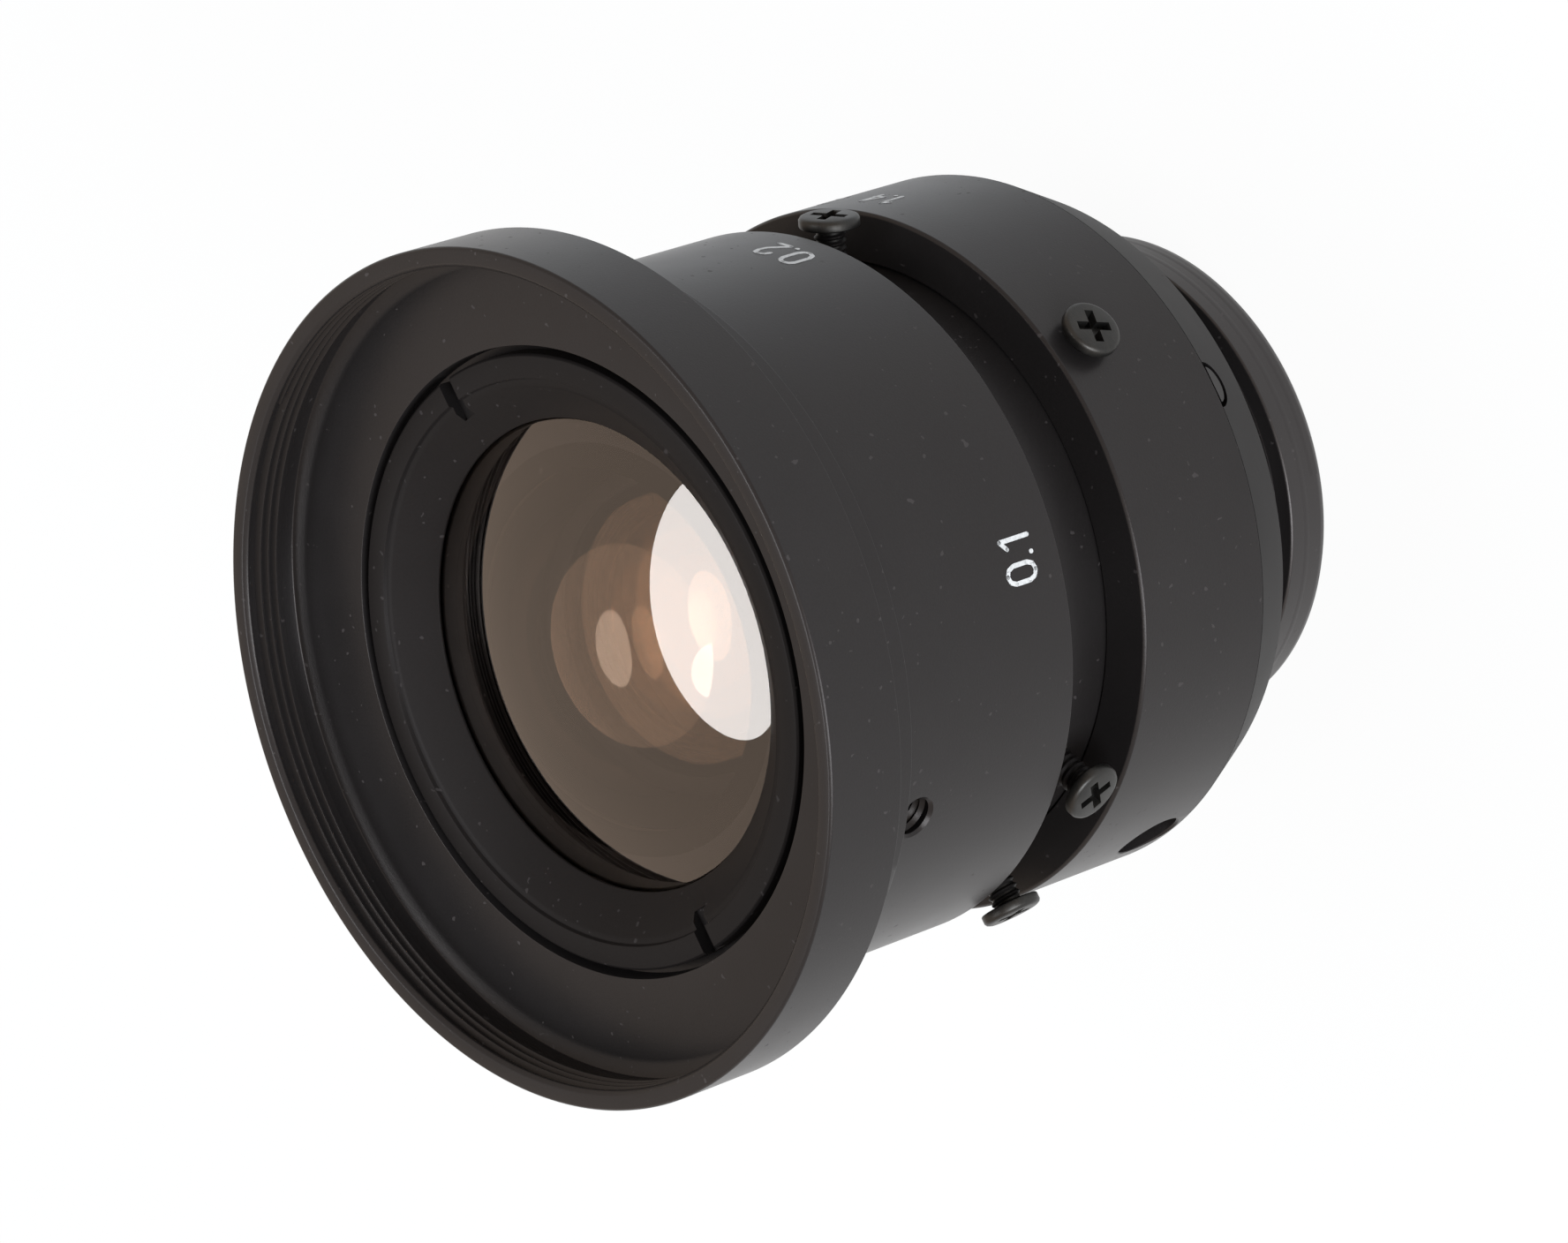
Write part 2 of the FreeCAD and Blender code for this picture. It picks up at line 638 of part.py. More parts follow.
def lock_screw_height():
    """Height of the focus lock screws, half way along the neck."""
    return z_iris_top + s.lock_screw_height_above_shoulder


def make_screw(label, angle, height, tip_r, top_r):
    """Pan-head lock screw lying along the radius, its tip and top given by their radii."""
    under_r = top_r - s.screw_head_height
    rounding = s.screw_head_rounding
    screw = turned(label, [
        (0, tip_r), (s.screw_shank_r, tip_r), (s.screw_shank_r, under_r), (s.screw_head_r, under_r),
        (s.screw_head_r, top_r - rounding), (s.screw_head_r - rounding, top_r), (0, top_r)])
    stand_radially(screw, angle, height)
    return screw


def make_iris_ring():
    """Iris ring with its front lip, lock screw hole, round access hole and inner drive groove."""
    body = turned("iris_ring", [
        (iris_bore_r, z_iris), (iris_ring_r, z_iris), (iris_ring_r, z_iris_top), (iris_lip_r, z_iris_top),
        (iris_lip_r, z_iris_lip), (iris_bore_r, z_iris_lip)])
    round_edges(body, "Chamfer", "iris_ring_front_edge", s.edge_chamfer, [(iris_ring_r, z_iris_top)])
    radial_hole(body, "iris_ring_screw_hole", s.iris_screw_angle, z_iris + s.iris_screw_height,
                s.screw_shank_r + s.running_gap, hood_r)
    radial_hole(body, "iris_ring_access_hole", s.ring_hole_angle, z_iris + s.ring_hole_height,
                s.ring_hole_r, hood_r)
    radial_window(body, "iris_ring_drive_groove", drive_start(), z_iris + s.iris_seam, z_iris_lip,
                  (s.drive_pin_r + s.running_gap) * 2, iris_bore_r + s.drive_pin_r * 2)
    return body


def drive_start():
    """The drive pin's angle with the iris fully open; its slots are centred on angle 0."""
    return Size(-s.iris_turn_angle.value / 2, f"(0 - {s.iris_turn_angle.text} / 2)")


def make_lens_cell():
    """Inner barrel that carries the glass, with the focusing screw's flange outside."""
    body = turned("lens_cell", [
        (rear_bore_r, z_cell_end), (s.cell_r, z_cell_end), (s.cell_r, z_helicoid), (helicoid_r, z_helicoid),
        (helicoid_r, z_helicoid_top), (cell_neck_r, z_helicoid_top), (cell_neck_r, z_well),
        (front_ring_skirt_r + s.fit_gap, z_well), (front_ring_skirt_r + s.fit_gap, z_glass_edge),
        (front_seat_r, z_glass_edge), (front_seat_r, z_glass_seat), (stack_bore_r, z_glass_seat),
        (stack_bore_r, z_fourth_low), (shoulder_bore_r, z_fourth_low), (shoulder_bore_r, z_iris_shoulder),
        (rear_bore_r, z_iris_shoulder)])
    slot_half = s.drive_pin_r + s.running_gap * 2
    grooved(body, "lens_cell_drive_slot", [
        (stack_bore_r, z_drive - slot_half), (cell_neck_r, z_drive - slot_half),
        (cell_neck_r, z_drive + slot_half), (stack_bore_r, z_drive + slot_half)],
        drive_slot_angle(s.cell_r))
    middle = z_seam + s.guide_pin_height
    reach = s.guide_pin_r + s.travel_room
    radial_window(body, "lens_cell_guide_slot", s.pin_side_angle, middle - reach, middle + reach,
                  (s.guide_pin_r + s.running_gap) * 2, cell_neck_r)
    return body


def make_front_hood():
    """Filter hood and collar, turned as one piece, with the recess in front of the glass."""
    body = turned("front_hood", [
        (cell_neck_r + s.fit_gap, z_collar), (collar_r, z_collar), (collar_r, z_hood), (hood_r, z_hood),
        (hood_r, z_front), (filter_bore_r, z_front), (filter_bore_r, z_front - s.filter_thread_length),
        (filter_relief_r, z_front - s.filter_thread_length), (filter_relief_r, z_recess + s.hood_chamfer),
        (hood_corner_r, z_recess), (hood_well_r, z_recess), (hood_well_r, z_well),
        (cell_neck_r + s.fit_gap, z_well)])
    round_edges(body, "Chamfer", "front_hood_front_edge", s.hood_chamfer, [(hood_r, z_front)])
    round_edges(body, "Chamfer", "front_hood_rear_edges", s.edge_chamfer / 2,
                [(hood_r, z_hood), (collar_r, z_collar), (filter_bore_r, z_front)])
    radial_hole(body, "front_hood_set_screw_hole", s.collar_hole_angle, z_collar + s.collar_hole_height,
                s.collar_hole_r, collar_r + s.running_gap)
    return body


def make_front_retaining_ring():
    """Retaining ring of the front glass: flat rim, fine groove, cone to the opening, two spanner slots."""
    top = z_recess
    low = z_well
    seat_r = front_glass_r
    body = turned("front_retaining_ring", [
        (opening_r, z_glass_edge + seat_rise()), (seat_r, z_glass_edge + s.fit_gap),
        (front_ring_skirt_r, z_glass_edge + s.fit_gap), (front_ring_skirt_r, low),
        (front_ring_r, low), (front_ring_r, top), (front_ring_land_r, top),
        (front_ring_land_r, top - s.front_ring_groove), (front_ring_cone_r, top - s.front_ring_groove),
        (opening_r, z_opening)])
    for number, turn in enumerate((Size.of(0), Size.of(180)), start=1):
        radial_window(body, f"front_retaining_ring_slot_{number}", s.slot_angle + turn, top - s.slot_depth,
                      z_front, s.slot_width, front_ring_r + s.fit_gap, slot_inner_r)
    return body


def seat_rise():
    """How far the front glass stands above its edge at the opening, with the seat's clearance."""
    return (front_glass_r - opening_r) / 2 + s.fit_gap * 2


def make_front_element():
    """Front glass: a strongly bent negative meniscus, bulging forwards."""
    apex = z_glass_edge + s.front_glass_sag
    return turned("front_element", [
        (0, apex - s.front_glass_middle), (s.front_glass_hollow_r, z_glass_seat),
        (front_glass_r, z_glass_seat), (front_glass_r, z_glass_edge), (0, apex)], arcs=(0, 3))


def make_spacer(label, top, low, outer, top_bore, low_bore):
    """Spacer ring between two glasses, its bore tapered as a baffle."""
    return turned(label, [(low_bore, low), (outer, low), (outer, top), (top_bore, top)])


def make_glass(label, top, low, radius, clear_r, top_bulge, low_bulge):
    """A glass ground flat round its edge; a bulge above zero is convex and below zero is hollow."""
    return turned(label, [
        (0, low - low_bulge), (clear_r, low), (radius, low),
        (radius, top), (clear_r, top), (0, top + top_bulge)], arcs=(0, 4))


def make_iris_housing():
    """Cup with the aperture plate, whose six holes hold the blades' pivots."""
    body = turned("iris_housing", [
        (s.iris_opening_r, z_blades), (housing_bore_r, z_blades), (housing_bore_r, z_cam_low),
        (housing_r, z_cam_low), (housing_r, z_iris_shoulder), (s.iris_opening_r, z_iris_shoulder)])
    slot_half = s.drive_pin_r + s.running_gap * 2
    grooved(body, "iris_housing_drive_slot", [
        (cam_ring_r, z_drive - slot_half), (s.cell_r, z_drive - slot_half),
        (s.cell_r, z_drive + slot_half), (cam_ring_r, z_drive + slot_half)],
        drive_slot_angle(housing_bore_r))
    hole = radius_hole_down(body, "iris_housing_pivot_hole", s.pivot_circle_r, blade_start(), z_iris_shoulder,
                            s.blade_pin_r + s.running_gap, s.iris_plate)
    pattern = body.newObject("PartDesign::PolarPattern", "iris_housing_pivot_holes")
    pattern.Originals = [hole]
    pattern.Axis = (hole.Profile[0], ["N_Axis"])
    pattern.Angle = 360
    pattern.Occurrences = BLADES
    body.Tip = pattern
    doc.recompute()
    return body


def blade_start():
    """The first blade's pivot angle: its cam slot then starts clear of the drive pin's hole."""
    return drive_start() + s.cam_arm_angle + s.cam_slot_clear_angle


def disc(radius, x, y, low, high):
    """A round pin or plate along Z."""
    return Part.makeCylinder(radius, high - low, FreeCAD.Vector(x, y, low))


def capsule(radius, x0, y0, x1, y1, low, high):
    """Plate with round ends between two points."""
    run = FreeCAD.Vector(x1 - x0, y1 - y0, 0)
    plate = Part.makeBox(run.Length, 2 * radius, high - low, FreeCAD.Vector(0, -radius, 0))
    plate.Placement = FreeCAD.Placement(FreeCAD.Vector(x0, y0, low), FreeCAD.Rotation(AXIS_X, run))
    return plate.multiFuse([disc(radius, x0, y0, low, high), disc(radius, x1, y1, low, high)])


def ring_sector(inner, outer, span, low, high):
    """Flat band between two radii, from angle 0 to the span."""
    cuts = []
    for radius in (inner, outer):
        cuts.append(Part.makeCylinder(radius, high - low, FreeCAD.Vector(0, 0, low), AXIS_Z, span))
    return cuts[1].cut(cuts[0])


def make_blade(number):
    """Iris blade: a crescent with a pivot pin up into the housing and a cam pin down into the cam ring."""
    sheet_low = z_blades.value - s.blade_pitch.value * number
    sheet_high = sheet_low + s.blade_sheet.value
    pivot_r = s.pivot_circle_r.value
    pin_r = s.blade_pin_r.value
    ear_r = s.blade_ear_r.value
    root = math.radians(s.blade_ear_angle.value)
    middle_r = (s.blade_inner_r.value + s.blade_outer_r.value) / 2
    arm = math.radians(-s.cam_arm_angle.value)
    cam_x = pivot_r * math.cos(arm)
    cam_y = pivot_r * math.sin(arm)
    end = math.radians(s.blade_span_angle.value)
    tip_r = (s.blade_outer_r.value - s.blade_inner_r.value) / 2
    band = ring_sector(s.blade_inner_r.value, s.blade_outer_r.value, s.blade_span_angle.value,
                       sheet_low, sheet_high)
    root_x = middle_r * math.cos(root)
    root_y = middle_r * math.sin(root)
    pieces = [
        capsule(ear_r, pivot_r, 0, cam_x, cam_y, sheet_low, sheet_high),
        capsule(ear_r, pivot_r, 0, root_x, root_y, sheet_low, sheet_high),
        disc(tip_r, middle_r * math.cos(end), middle_r * math.sin(end), sheet_low, sheet_high),
        disc(pin_r, pivot_r, 0, sheet_low, z_iris_shoulder.value - s.running_gap.value),
        disc(pin_r, cam_x, cam_y, z_cam_low.value + s.running_gap.value, sheet_high),
    ]
    blade = doc.addObject("Part::Feature", f"iris_blade_{number}")
    shape = band.multiFuse(pieces).removeSplitter()
    blade.Shape = shape.Solids[0] if len(shape.Solids) == 1 else shape
    turn = blade_start().value + (number - 1) * 360 / BLADES
    blade.Placement = FreeCAD.Placement(FreeCAD.Vector(), FreeCAD.Rotation(AXIS_Z, turn))
    return blade


def cam_pin_place(share):
    """Where a blade's cam pin lies on the cam ring, when the iris has made this share of its turn."""
    pivot_r = s.pivot_circle_r.value
    arm = math.radians(-s.cam_arm_angle.value)
    turn = math.radians(s.blade_turn_angle.value * share)
    back = math.radians(-s.iris_turn_angle.value * share)
    dx = pivot_r * math.cos(arm) - pivot_r
    dy = pivot_r * math.sin(arm)
    x = pivot_r + dx * math.cos(turn) - dy * math.sin(turn)
    y = dx * math.sin(turn) + dy * math.cos(turn)
    return FreeCAD.Vector(x * math.cos(back) - y * math.sin(back), x * math.sin(back) + y * math.cos(back), 0)


def cam_slot(half_width, low, high):
    """Cutter for one cam slot: the path of the blade's pin, widened to both sides, with round ends."""
    steps = 8
    margin = 0.02
    nearby = 0.01
    shares = [-margin + (1 + 2 * margin) * i / steps for i in range(steps + 1)]
    sides = ([], [])
    for share in shares:
        here = cam_pin_place(share)
        along = cam_pin_place(share + nearby) - cam_pin_place(share - nearby)
        normal = FreeCAD.Vector(-along.y, along.x, 0).normalize() * half_width
        sides[0].append(here + normal)
        sides[1].append(here - normal)
    ends = []
    for share, outwards in ((shares[0], -1), (shares[-1], 1)):
        along = cam_pin_place(share + nearby) - cam_pin_place(share - nearby)
        ends.append(cam_pin_place(share) + along.normalize() * (half_width * outwards))
    left = Part.BSplineCurve()
    left.interpolate(sides[0])
    right = Part.BSplineCurve()
    right.interpolate(sides[1])
    wire = Part.Wire([left.toShape(), Part.Arc(sides[0][-1], ends[1], sides[1][-1]).toShape(),
                      right.toShape(), Part.Arc(sides[1][0], ends[0], sides[0][0]).toShape()])
    cutter = Part.Face(wire).extrude(FreeCAD.Vector(0, 0, high - low))
    cutter.translate(FreeCAD.Vector(0, 0, low))
    return cutter


def make_cam_ring():
    """Cam ring: its six curved slots turn the blades at a constant share of the iris ring's turn."""
    low = z_cam_low.value
    high = z_cam_top.value
    ring = disc(cam_ring_r.value, 0, 0, low, high).cut(disc(s.cam_ring_bore_r.value, 0, 0, low, high))
    half_width = s.blade_pin_r.value + s.running_gap.value
    cutter = cam_slot(half_width, low - half_width, high + half_width)
    cutters = []
    for number in range(BLADES):
        copy = cutter.copy()
        copy.rotate(FreeCAD.Vector(), AXIS_Z, blade_start().value + number * 360 / BLADES)
        cutters.append(copy)
    hole = Part.makeCylinder(s.drive_pin_r.value + s.fit_gap.value, cam_ring_r.value,
                             FreeCAD.Vector(drive_root_r().value, 0, z_drive.value), AXIS_X)
    hole.rotate(FreeCAD.Vector(), AXIS_Z, drive_start().value)
    cam = doc.addObject("Part::Feature", "iris_cam_ring")
    shape = ring.cut(cutters + [hole])
    cam.Shape = shape.Solids[0] if len(shape.Solids) == 1 else shape
    return cam


def drive_root_r():
    """Radius at which the drive pin's hole ends in the cam ring."""
    return cam_ring_r - (cam_ring_r - s.pivot_circle_r) / 2


def make_drive_pin():
    """Pin from the cam ring out through the slots into the iris ring's groove."""
    tip = iris_bore_r + s.drive_pin_r
    root = drive_root_r() + s.fit_gap
    pin = turned("iris_drive_pin", [(0, root), (s.drive_pin_r, root), (s.drive_pin_r, tip), (0, tip)])
    stand_radially(pin, drive_start().value, z_drive)
    return pin


def make_iris_retainer():
    """Ring that keeps the cam ring in its cup."""
    return turned("iris_retainer", [
        (s.retainer_bore_r, z_retainer_low), (housing_r, z_retainer_low), (housing_r, z_cam_low),
        (housing_bore_r, z_cam_low), (housing_bore_r, z_retainer), (s.retainer_bore_r, z_retainer)])


def rear_heights():
    """Heights of the rear glasses and rings, from the rear cell's front lip downwards."""
    crown = z_retainer_low - s.rear_glass_lip
    flint = crown - s.crown_edge
    spacer = flint - s.flint_edge
    element = spacer - s.rear_spacer_length
    ring = element - s.rear_element_edge
    return crown, flint, spacer, element, ring


def make_rear_cell():
    """Rear barrel screwed into the lens cell, its narrow nose reaching into the camera thread."""
    crown, flint, spacer, element, ring = rear_heights()
    body_r = rear_bore_r - s.fit_gap
    return turned("rear_cell", [
        (s.rear_glass_r + s.fit_gap, s.rear_nose_end), (rear_nose_r, s.rear_nose_end),
        (rear_nose_r, z_cell_end),
        (body_r, z_cell_end), (body_r, z_retainer_low), (s.rear_glass_r - s.rear_glass_lip, z_retainer_low),
        (s.rear_glass_r - s.rear_glass_lip, crown), (s.rear_glass_r + s.fit_gap, crown)])


def make_rear_group():
    """Cemented pair, spacer, last glass and the ring that holds them in the rear cell."""
    crown, flint, spacer, element, ring = rear_heights()
    bore = s.rear_glass_r - s.rear_glass_lip
    outer = s.rear_glass_r
    hollow = s.crown_bulge * -1
    bulge = s.rear_element_bulge
    return [
        make_glass("rear_crown_element", crown, flint, outer, bore, s.crown_bulge, s.crown_bulge),
        make_glass("rear_flint_element", flint, spacer, outer, bore, hollow, s.flint_bulge),
        make_spacer("rear_spacer", spacer, element, outer, bore, bore),
        make_glass("rear_element", element, ring, outer, bore, bulge, bulge),
        turned("rear_retaining_ring", [
            (bore, ring - s.rear_ring_length), (outer, ring - s.rear_ring_length),
            (outer, ring), (bore, ring)]),
    ]


def make_front_group():
    """Front glasses and spacers, in their order behind the retaining ring."""
    stack_r = stack_bore_r - s.fit_gap
    wide = stack_bore_r - s.stack_lip / 2
    narrow = stack_bore_r - s.stack_lip
    clear_r = shoulder_bore_r
    hollow = s.second_glass_hollow * -1
    third_bulge = s.third_glass_bulge
    fourth_bulge = s.fourth_glass_bulge
    return [
        make_front_element(),
        make_spacer("front_spacer", z_glass_seat, z_second, stack_r, wide, narrow),
        make_glass("second_element", z_second, z_second_low, stack_r, clear_r, hollow, hollow),
        make_spacer("middle_spacer", z_second_low, z_third, stack_r, narrow, narrow),
        make_glass("third_element", z_third, z_third_low, stack_r, clear_r, third_bulge, third_bulge),
        make_spacer("inner_spacer", z_third_low, z_fourth, stack_r, narrow, narrow),
        make_glass("fourth_element", z_fourth, z_fourth_low, stack_r, clear_r, fourth_bulge, fourth_bulge),
    ]


def make_all():
    """Every piece of the lens, from the rear to the front."""
    pieces = [make_mount_base(), make_index_plug(), make_focus_retaining_ring(), make_guide_pin(),
              make_focus_stop_pin(), make_focus_barrel()]
    for label, angle, rise in LOCK_SCREWS:
        pieces.append(make_screw(label, angle, lock_screw_height(), neck_bore_r + s.running_gap,
                                 barrel_r + rise))
    groove_floor_r = iris_seat_r - s.iris_screw_groove_depth
    pieces.append(make_iris_ring())
    pieces.append(make_screw("iris_lock_screw", s.iris_screw_angle.value, z_iris + s.iris_screw_height,
                             groove_floor_r + s.running_gap * 2, iris_screw_top_r))
    pieces += [make_lens_cell(), make_front_hood(), make_front_retaining_ring()]
    pieces += make_front_group()
    pieces += [make_iris_housing()]
    pieces += [make_blade(number) for number in range(1, BLADES + 1)]
    pieces += [make_cam_ring(), make_drive_pin(), make_iris_retainer(), make_rear_cell()]
    pieces += make_rear_group()
    return pieces


def check_and_write(pieces):
    """Checks that everything built, then writes one file for each piece."""
    doc.recompute()
    for item in doc.Objects:
        if "Invalid" in item.State or "Error" in item.State:
            raise RuntimeError(f"{item.Label} did not build: {item.State}")
    for piece in pieces:
        if piece.Shape.isNull() or not piece.Shape.isValid() or len(piece.Shape.Solids) != 1:
            raise RuntimeError(f"{piece.Label} is not one valid solid: {len(piece.Shape.Solids)}")
    os.makedirs("parts", exist_ok=True)
    for piece in pieces:
        piece.Shape.exportStep(f"parts/{piece.Label}.step")
        print(piece.Label, round(piece.Shape.Volume, 2))


check_and_write(make_all())
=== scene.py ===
"""Wide-angle machine-vision lens on its rear end: fine meshes, finishes, studio and camera."""

import logging
import math
from dataclasses import dataclass, field
from enum import Enum
from typing import Any, Optional, Sequence

import bmesh
import bpy
from mathutils import Matrix, Vector


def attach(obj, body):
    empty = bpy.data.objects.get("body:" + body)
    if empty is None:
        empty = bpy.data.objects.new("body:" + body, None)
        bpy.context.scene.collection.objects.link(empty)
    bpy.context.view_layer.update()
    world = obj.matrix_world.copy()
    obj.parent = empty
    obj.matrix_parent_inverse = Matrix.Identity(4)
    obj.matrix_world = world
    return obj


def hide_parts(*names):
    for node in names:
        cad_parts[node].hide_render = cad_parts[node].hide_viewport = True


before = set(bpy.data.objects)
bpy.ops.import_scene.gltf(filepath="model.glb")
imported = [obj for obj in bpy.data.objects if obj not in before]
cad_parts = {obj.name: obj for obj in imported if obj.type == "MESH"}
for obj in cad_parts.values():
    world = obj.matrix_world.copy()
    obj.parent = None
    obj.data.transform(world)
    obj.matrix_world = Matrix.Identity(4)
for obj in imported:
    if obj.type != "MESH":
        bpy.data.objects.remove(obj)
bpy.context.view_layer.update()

log = logging.getLogger("lens")

MM = 0.001
FULL_TURN = 2 * math.pi
WELD = 1e-7
SMOOTH_ANGLE = math.radians(38)
HOLE_STEPS = 40
BLADES = 6
BMesh = bmesh.types.BMesh
Object = bpy.types.Object
Material = bpy.types.Material
Point = tuple[float, float]
Point3 = tuple[float, float, float]
Colour = tuple[float, float, float, float]


class Body(Enum):
    """The CAD bodies that the pieces ride on."""

    BASE = "base"
    FOCUS = "focus"
    IRIS = "iris"
    IRIS_LOCK = "iris_lock"
    OPTICS = "optics"


class Slot(Enum):
    """The record's material slots."""

    ANODISED = "black_anodised"
    INDEX = "index_fill"
    BRIGHT_STEEL = "bright_steel"
    BLACK_STEEL = "black_steel"
    GLASS = "coated_glass"
    BLADE = "blackened_blade"


class Value:
    """A shader socket that takes part in arithmetic; each operator adds one Math node."""

    def __init__(self, graph: "Graph", socket: bpy.types.NodeSocket) -> None:
        """Keeps the socket and the graph that it belongs to."""
        self.graph = graph
        self.socket = socket

    def _math(self, operation: str, first: Any, second: Any) -> "Value":
        """Adds a Math node.

        Args:
            operation: the node's operation.
            first: its first operand.
            second: its second operand.

        Returns:
            The node's result.
        """
        return self.graph.node("ShaderNodeMath", {"operation": operation}, {0: first, 1: second})

    def __add__(self, other: Any) -> "Value":
        """Sum."""
        return self._math("ADD", self, other)

    def __radd__(self, other: Any) -> "Value":
        """Reflected sum."""
        return self._math("ADD", other, self)

    def __sub__(self, other: Any) -> "Value":
        """Difference."""
        return self._math("SUBTRACT", self, other)

    def __mul__(self, other: Any) -> "Value":
        """Product."""
        return self._math("MULTIPLY", self, other)

    def __rmul__(self, other: Any) -> "Value":
        """Reflected product."""
        return self._math("MULTIPLY", other, self)

    def __pow__(self, other: Any) -> "Value":
        """Power."""
        return self._math("POWER", self, other)

    def above(self, limit: float) -> "Value":
        """One where this value is over the limit, else zero."""
        return self._math("GREATER_THAN", self, limit)

    def most(self, other: Any) -> "Value":
        """The larger of the two."""
        return self._math("MAXIMUM", self, other)


class Graph:
    """A material's or world's node tree, built node by node."""

    def __init__(self, owner: Any) -> None:
        """Clears the tree of a material or world.

        Args:
            owner: the material or world that gets the nodes.
        """
        owner.use_nodes = True
        self.tree = owner.node_tree
        self.tree.nodes.clear()

    def add(self, kind: str, settings: dict[str, Any], inputs: dict[Any, Any]) -> bpy.types.Node:
        """Adds one node.

        Args:
            kind: the node's type.
            settings: its properties, set first.
            inputs: values or links of its sockets, by name or number.

        Returns:
            The new node.
        """
        node = self.tree.nodes.new(kind)
        for name, value in settings.items():
            setattr(node, name, value)
        for name, value in inputs.items():
            if isinstance(value, Value):
                self.tree.links.new(value.socket, node.inputs[name])
            else:
                node.inputs[name].default_value = value
        return node

    def node(self, kind: str, settings: dict[str, Any], inputs: dict[Any, Any], output: Any = 0) -> Value:
        """Adds one node and gives one of its outputs.

        Args:
            kind: the node's type.
            settings: its properties, set first.
            inputs: values or links of its sockets.
            output: name or number of the wanted output.

        Returns:
            That output as a value.
        """
        return Value(self, self.add(kind, settings, inputs).outputs[output])

    def place(self) -> Value:
        """Object coordinates, in metres."""
        return self.node("ShaderNodeTexCoord", {}, {}, "Object")

    def noise(self, place: Value, scale: float, detail: float = 2.0, roughness: float = 0.5) -> Value:
        """Noise between 0 and 1.

        Args:
            place: the coordinates.
            scale: how many features fit in a metre.
            detail: number of finer layers.
            roughness: strength of the finer layers.

        Returns:
            The noise's value.
        """
        return self.node("ShaderNodeTexNoise", {}, {"Vector": place, "Scale": scale, "Detail": detail,
                                                    "Roughness": roughness}, "Fac")

    def ramp(self, factor: Value, stops: Sequence[tuple[float, Colour]]) -> Value:
        """A colour ramp.

        Args:
            factor: where on the ramp.
            stops: (position, colour) pairs in order.

        Returns:
            The colour.
        """
        node = self.add("ShaderNodeValToRGB", {}, {"Fac": factor})
        elements = node.color_ramp.elements
        while len(elements) < len(stops):
            elements.new(1.0)
        for element, (position, colour) in zip(elements, stops):
            element.position = position
            element.color = colour
        return Value(self, node.outputs["Color"])

    def blend(self, factor: Any, first: Any, second: Any) -> Value:
        """Mixes two colours.

        Args:
            factor: share of the second colour.
            first: the first colour.
            second: the second colour.

        Returns:
            The mixed colour.
        """
        node = self.add("ShaderNodeMix", {"data_type": "RGBA"}, {})
        for socket, value in ((node.inputs[0], factor), (node.inputs[6], first), (node.inputs[7], second)):
            if isinstance(value, Value):
                self.tree.links.new(value.socket, socket)
            else:
                socket.default_value = value
        return Value(self, node.outputs[2])

    def bump(self, height: Value, distance: float, strength: float) -> Value:
        """A bumped normal.

        Args:
            height: the height map.
            distance: height in metres of a full step.
            strength: how much of it is used.

        Returns:
            The normal.
        """
        return self.node("ShaderNodeBump", {}, {
            "Height": height, "Distance": distance, "Strength": strength})

    def finish(self, surface: Value, kind: str = "ShaderNodeOutputMaterial") -> None:
        """Links the surface to the tree's output."""
        self.add(kind, {}, {"Surface": surface})


def grey(level: float) -> Colour:
    """An opaque grey."""
    return (level, level, level, 1.0)


@dataclass(frozen=True)
class Anodised:
    """Matte black anodised aluminium with bead-blast grain, faint turning marks and dust."""

    name: str = "black_anodised"
    shade: float = 0.0105
    roughness: float = 0.33
    turning: float = 0.10
    grain: float = 0.5
    specular: float = 0.27
    fineness: float = 9000.0

    CLOUD_SCALE = 160.0
    MARK_SCALE = 5200.0
    SPECK_SCALE = 2600.0
    SPECK_LIMIT = 0.735
    PATCH_SCALE = 420.0
    DUST_TONE = 0.02
    RELIEF_DEPTH = 0.00001
    WARMTH = 1.12
    GLOSS_TINT = (1.0, 0.94, 0.93, 1.0)

    def material(self) -> Material:
        """Builds the finish.

        Returns:
            The material.
        """
        material = bpy.data.materials.new(self.name)
        graph = Graph(material)
        place = graph.place()
        grain = graph.noise(place, self.fineness, 3.0, 0.6)
        cloud = graph.noise(place, self.CLOUD_SCALE, 3.0, 0.55)
        split = graph.add("ShaderNodeSeparateXYZ", {}, {0: place})
        across, along, height = (Value(graph, split.outputs[i]) for i in range(3))
        radius = (across * across + along * along) ** 0.5
        marks_at = graph.node("ShaderNodeCombineXYZ", {}, {"X": radius, "Y": 0.0, "Z": height})
        marks = graph.noise(marks_at, self.MARK_SCALE, 2.0, 0.7)
        patches = graph.noise(place, self.PATCH_SCALE).above(0.5)
        specks = graph.noise(place, self.SPECK_SCALE, 1.0, 0.4).above(self.SPECK_LIMIT) * patches
        tone = self.shade * (0.72 + 0.3 * cloud + 0.5 * grain) + specks * self.DUST_TONE
        colour = graph.node("ShaderNodeCombineColor", {}, {
            "Red": tone * self.WARMTH, "Green": tone, "Blue": tone})
        relief = grain * 0.8 + marks * self.turning
        surface = graph.node("ShaderNodeBsdfPrincipled", {}, {
            "Base Color": colour, "Roughness": self.roughness - 0.05 + 0.1 * cloud + specks * 0.2,
            "Metallic": 0.0, "Specular IOR Level": self.specular, "Specular Tint": self.GLOSS_TINT,
            "Normal": graph.bump(relief, self.RELIEF_DEPTH, self.grain)})
        graph.finish(surface)
        return material


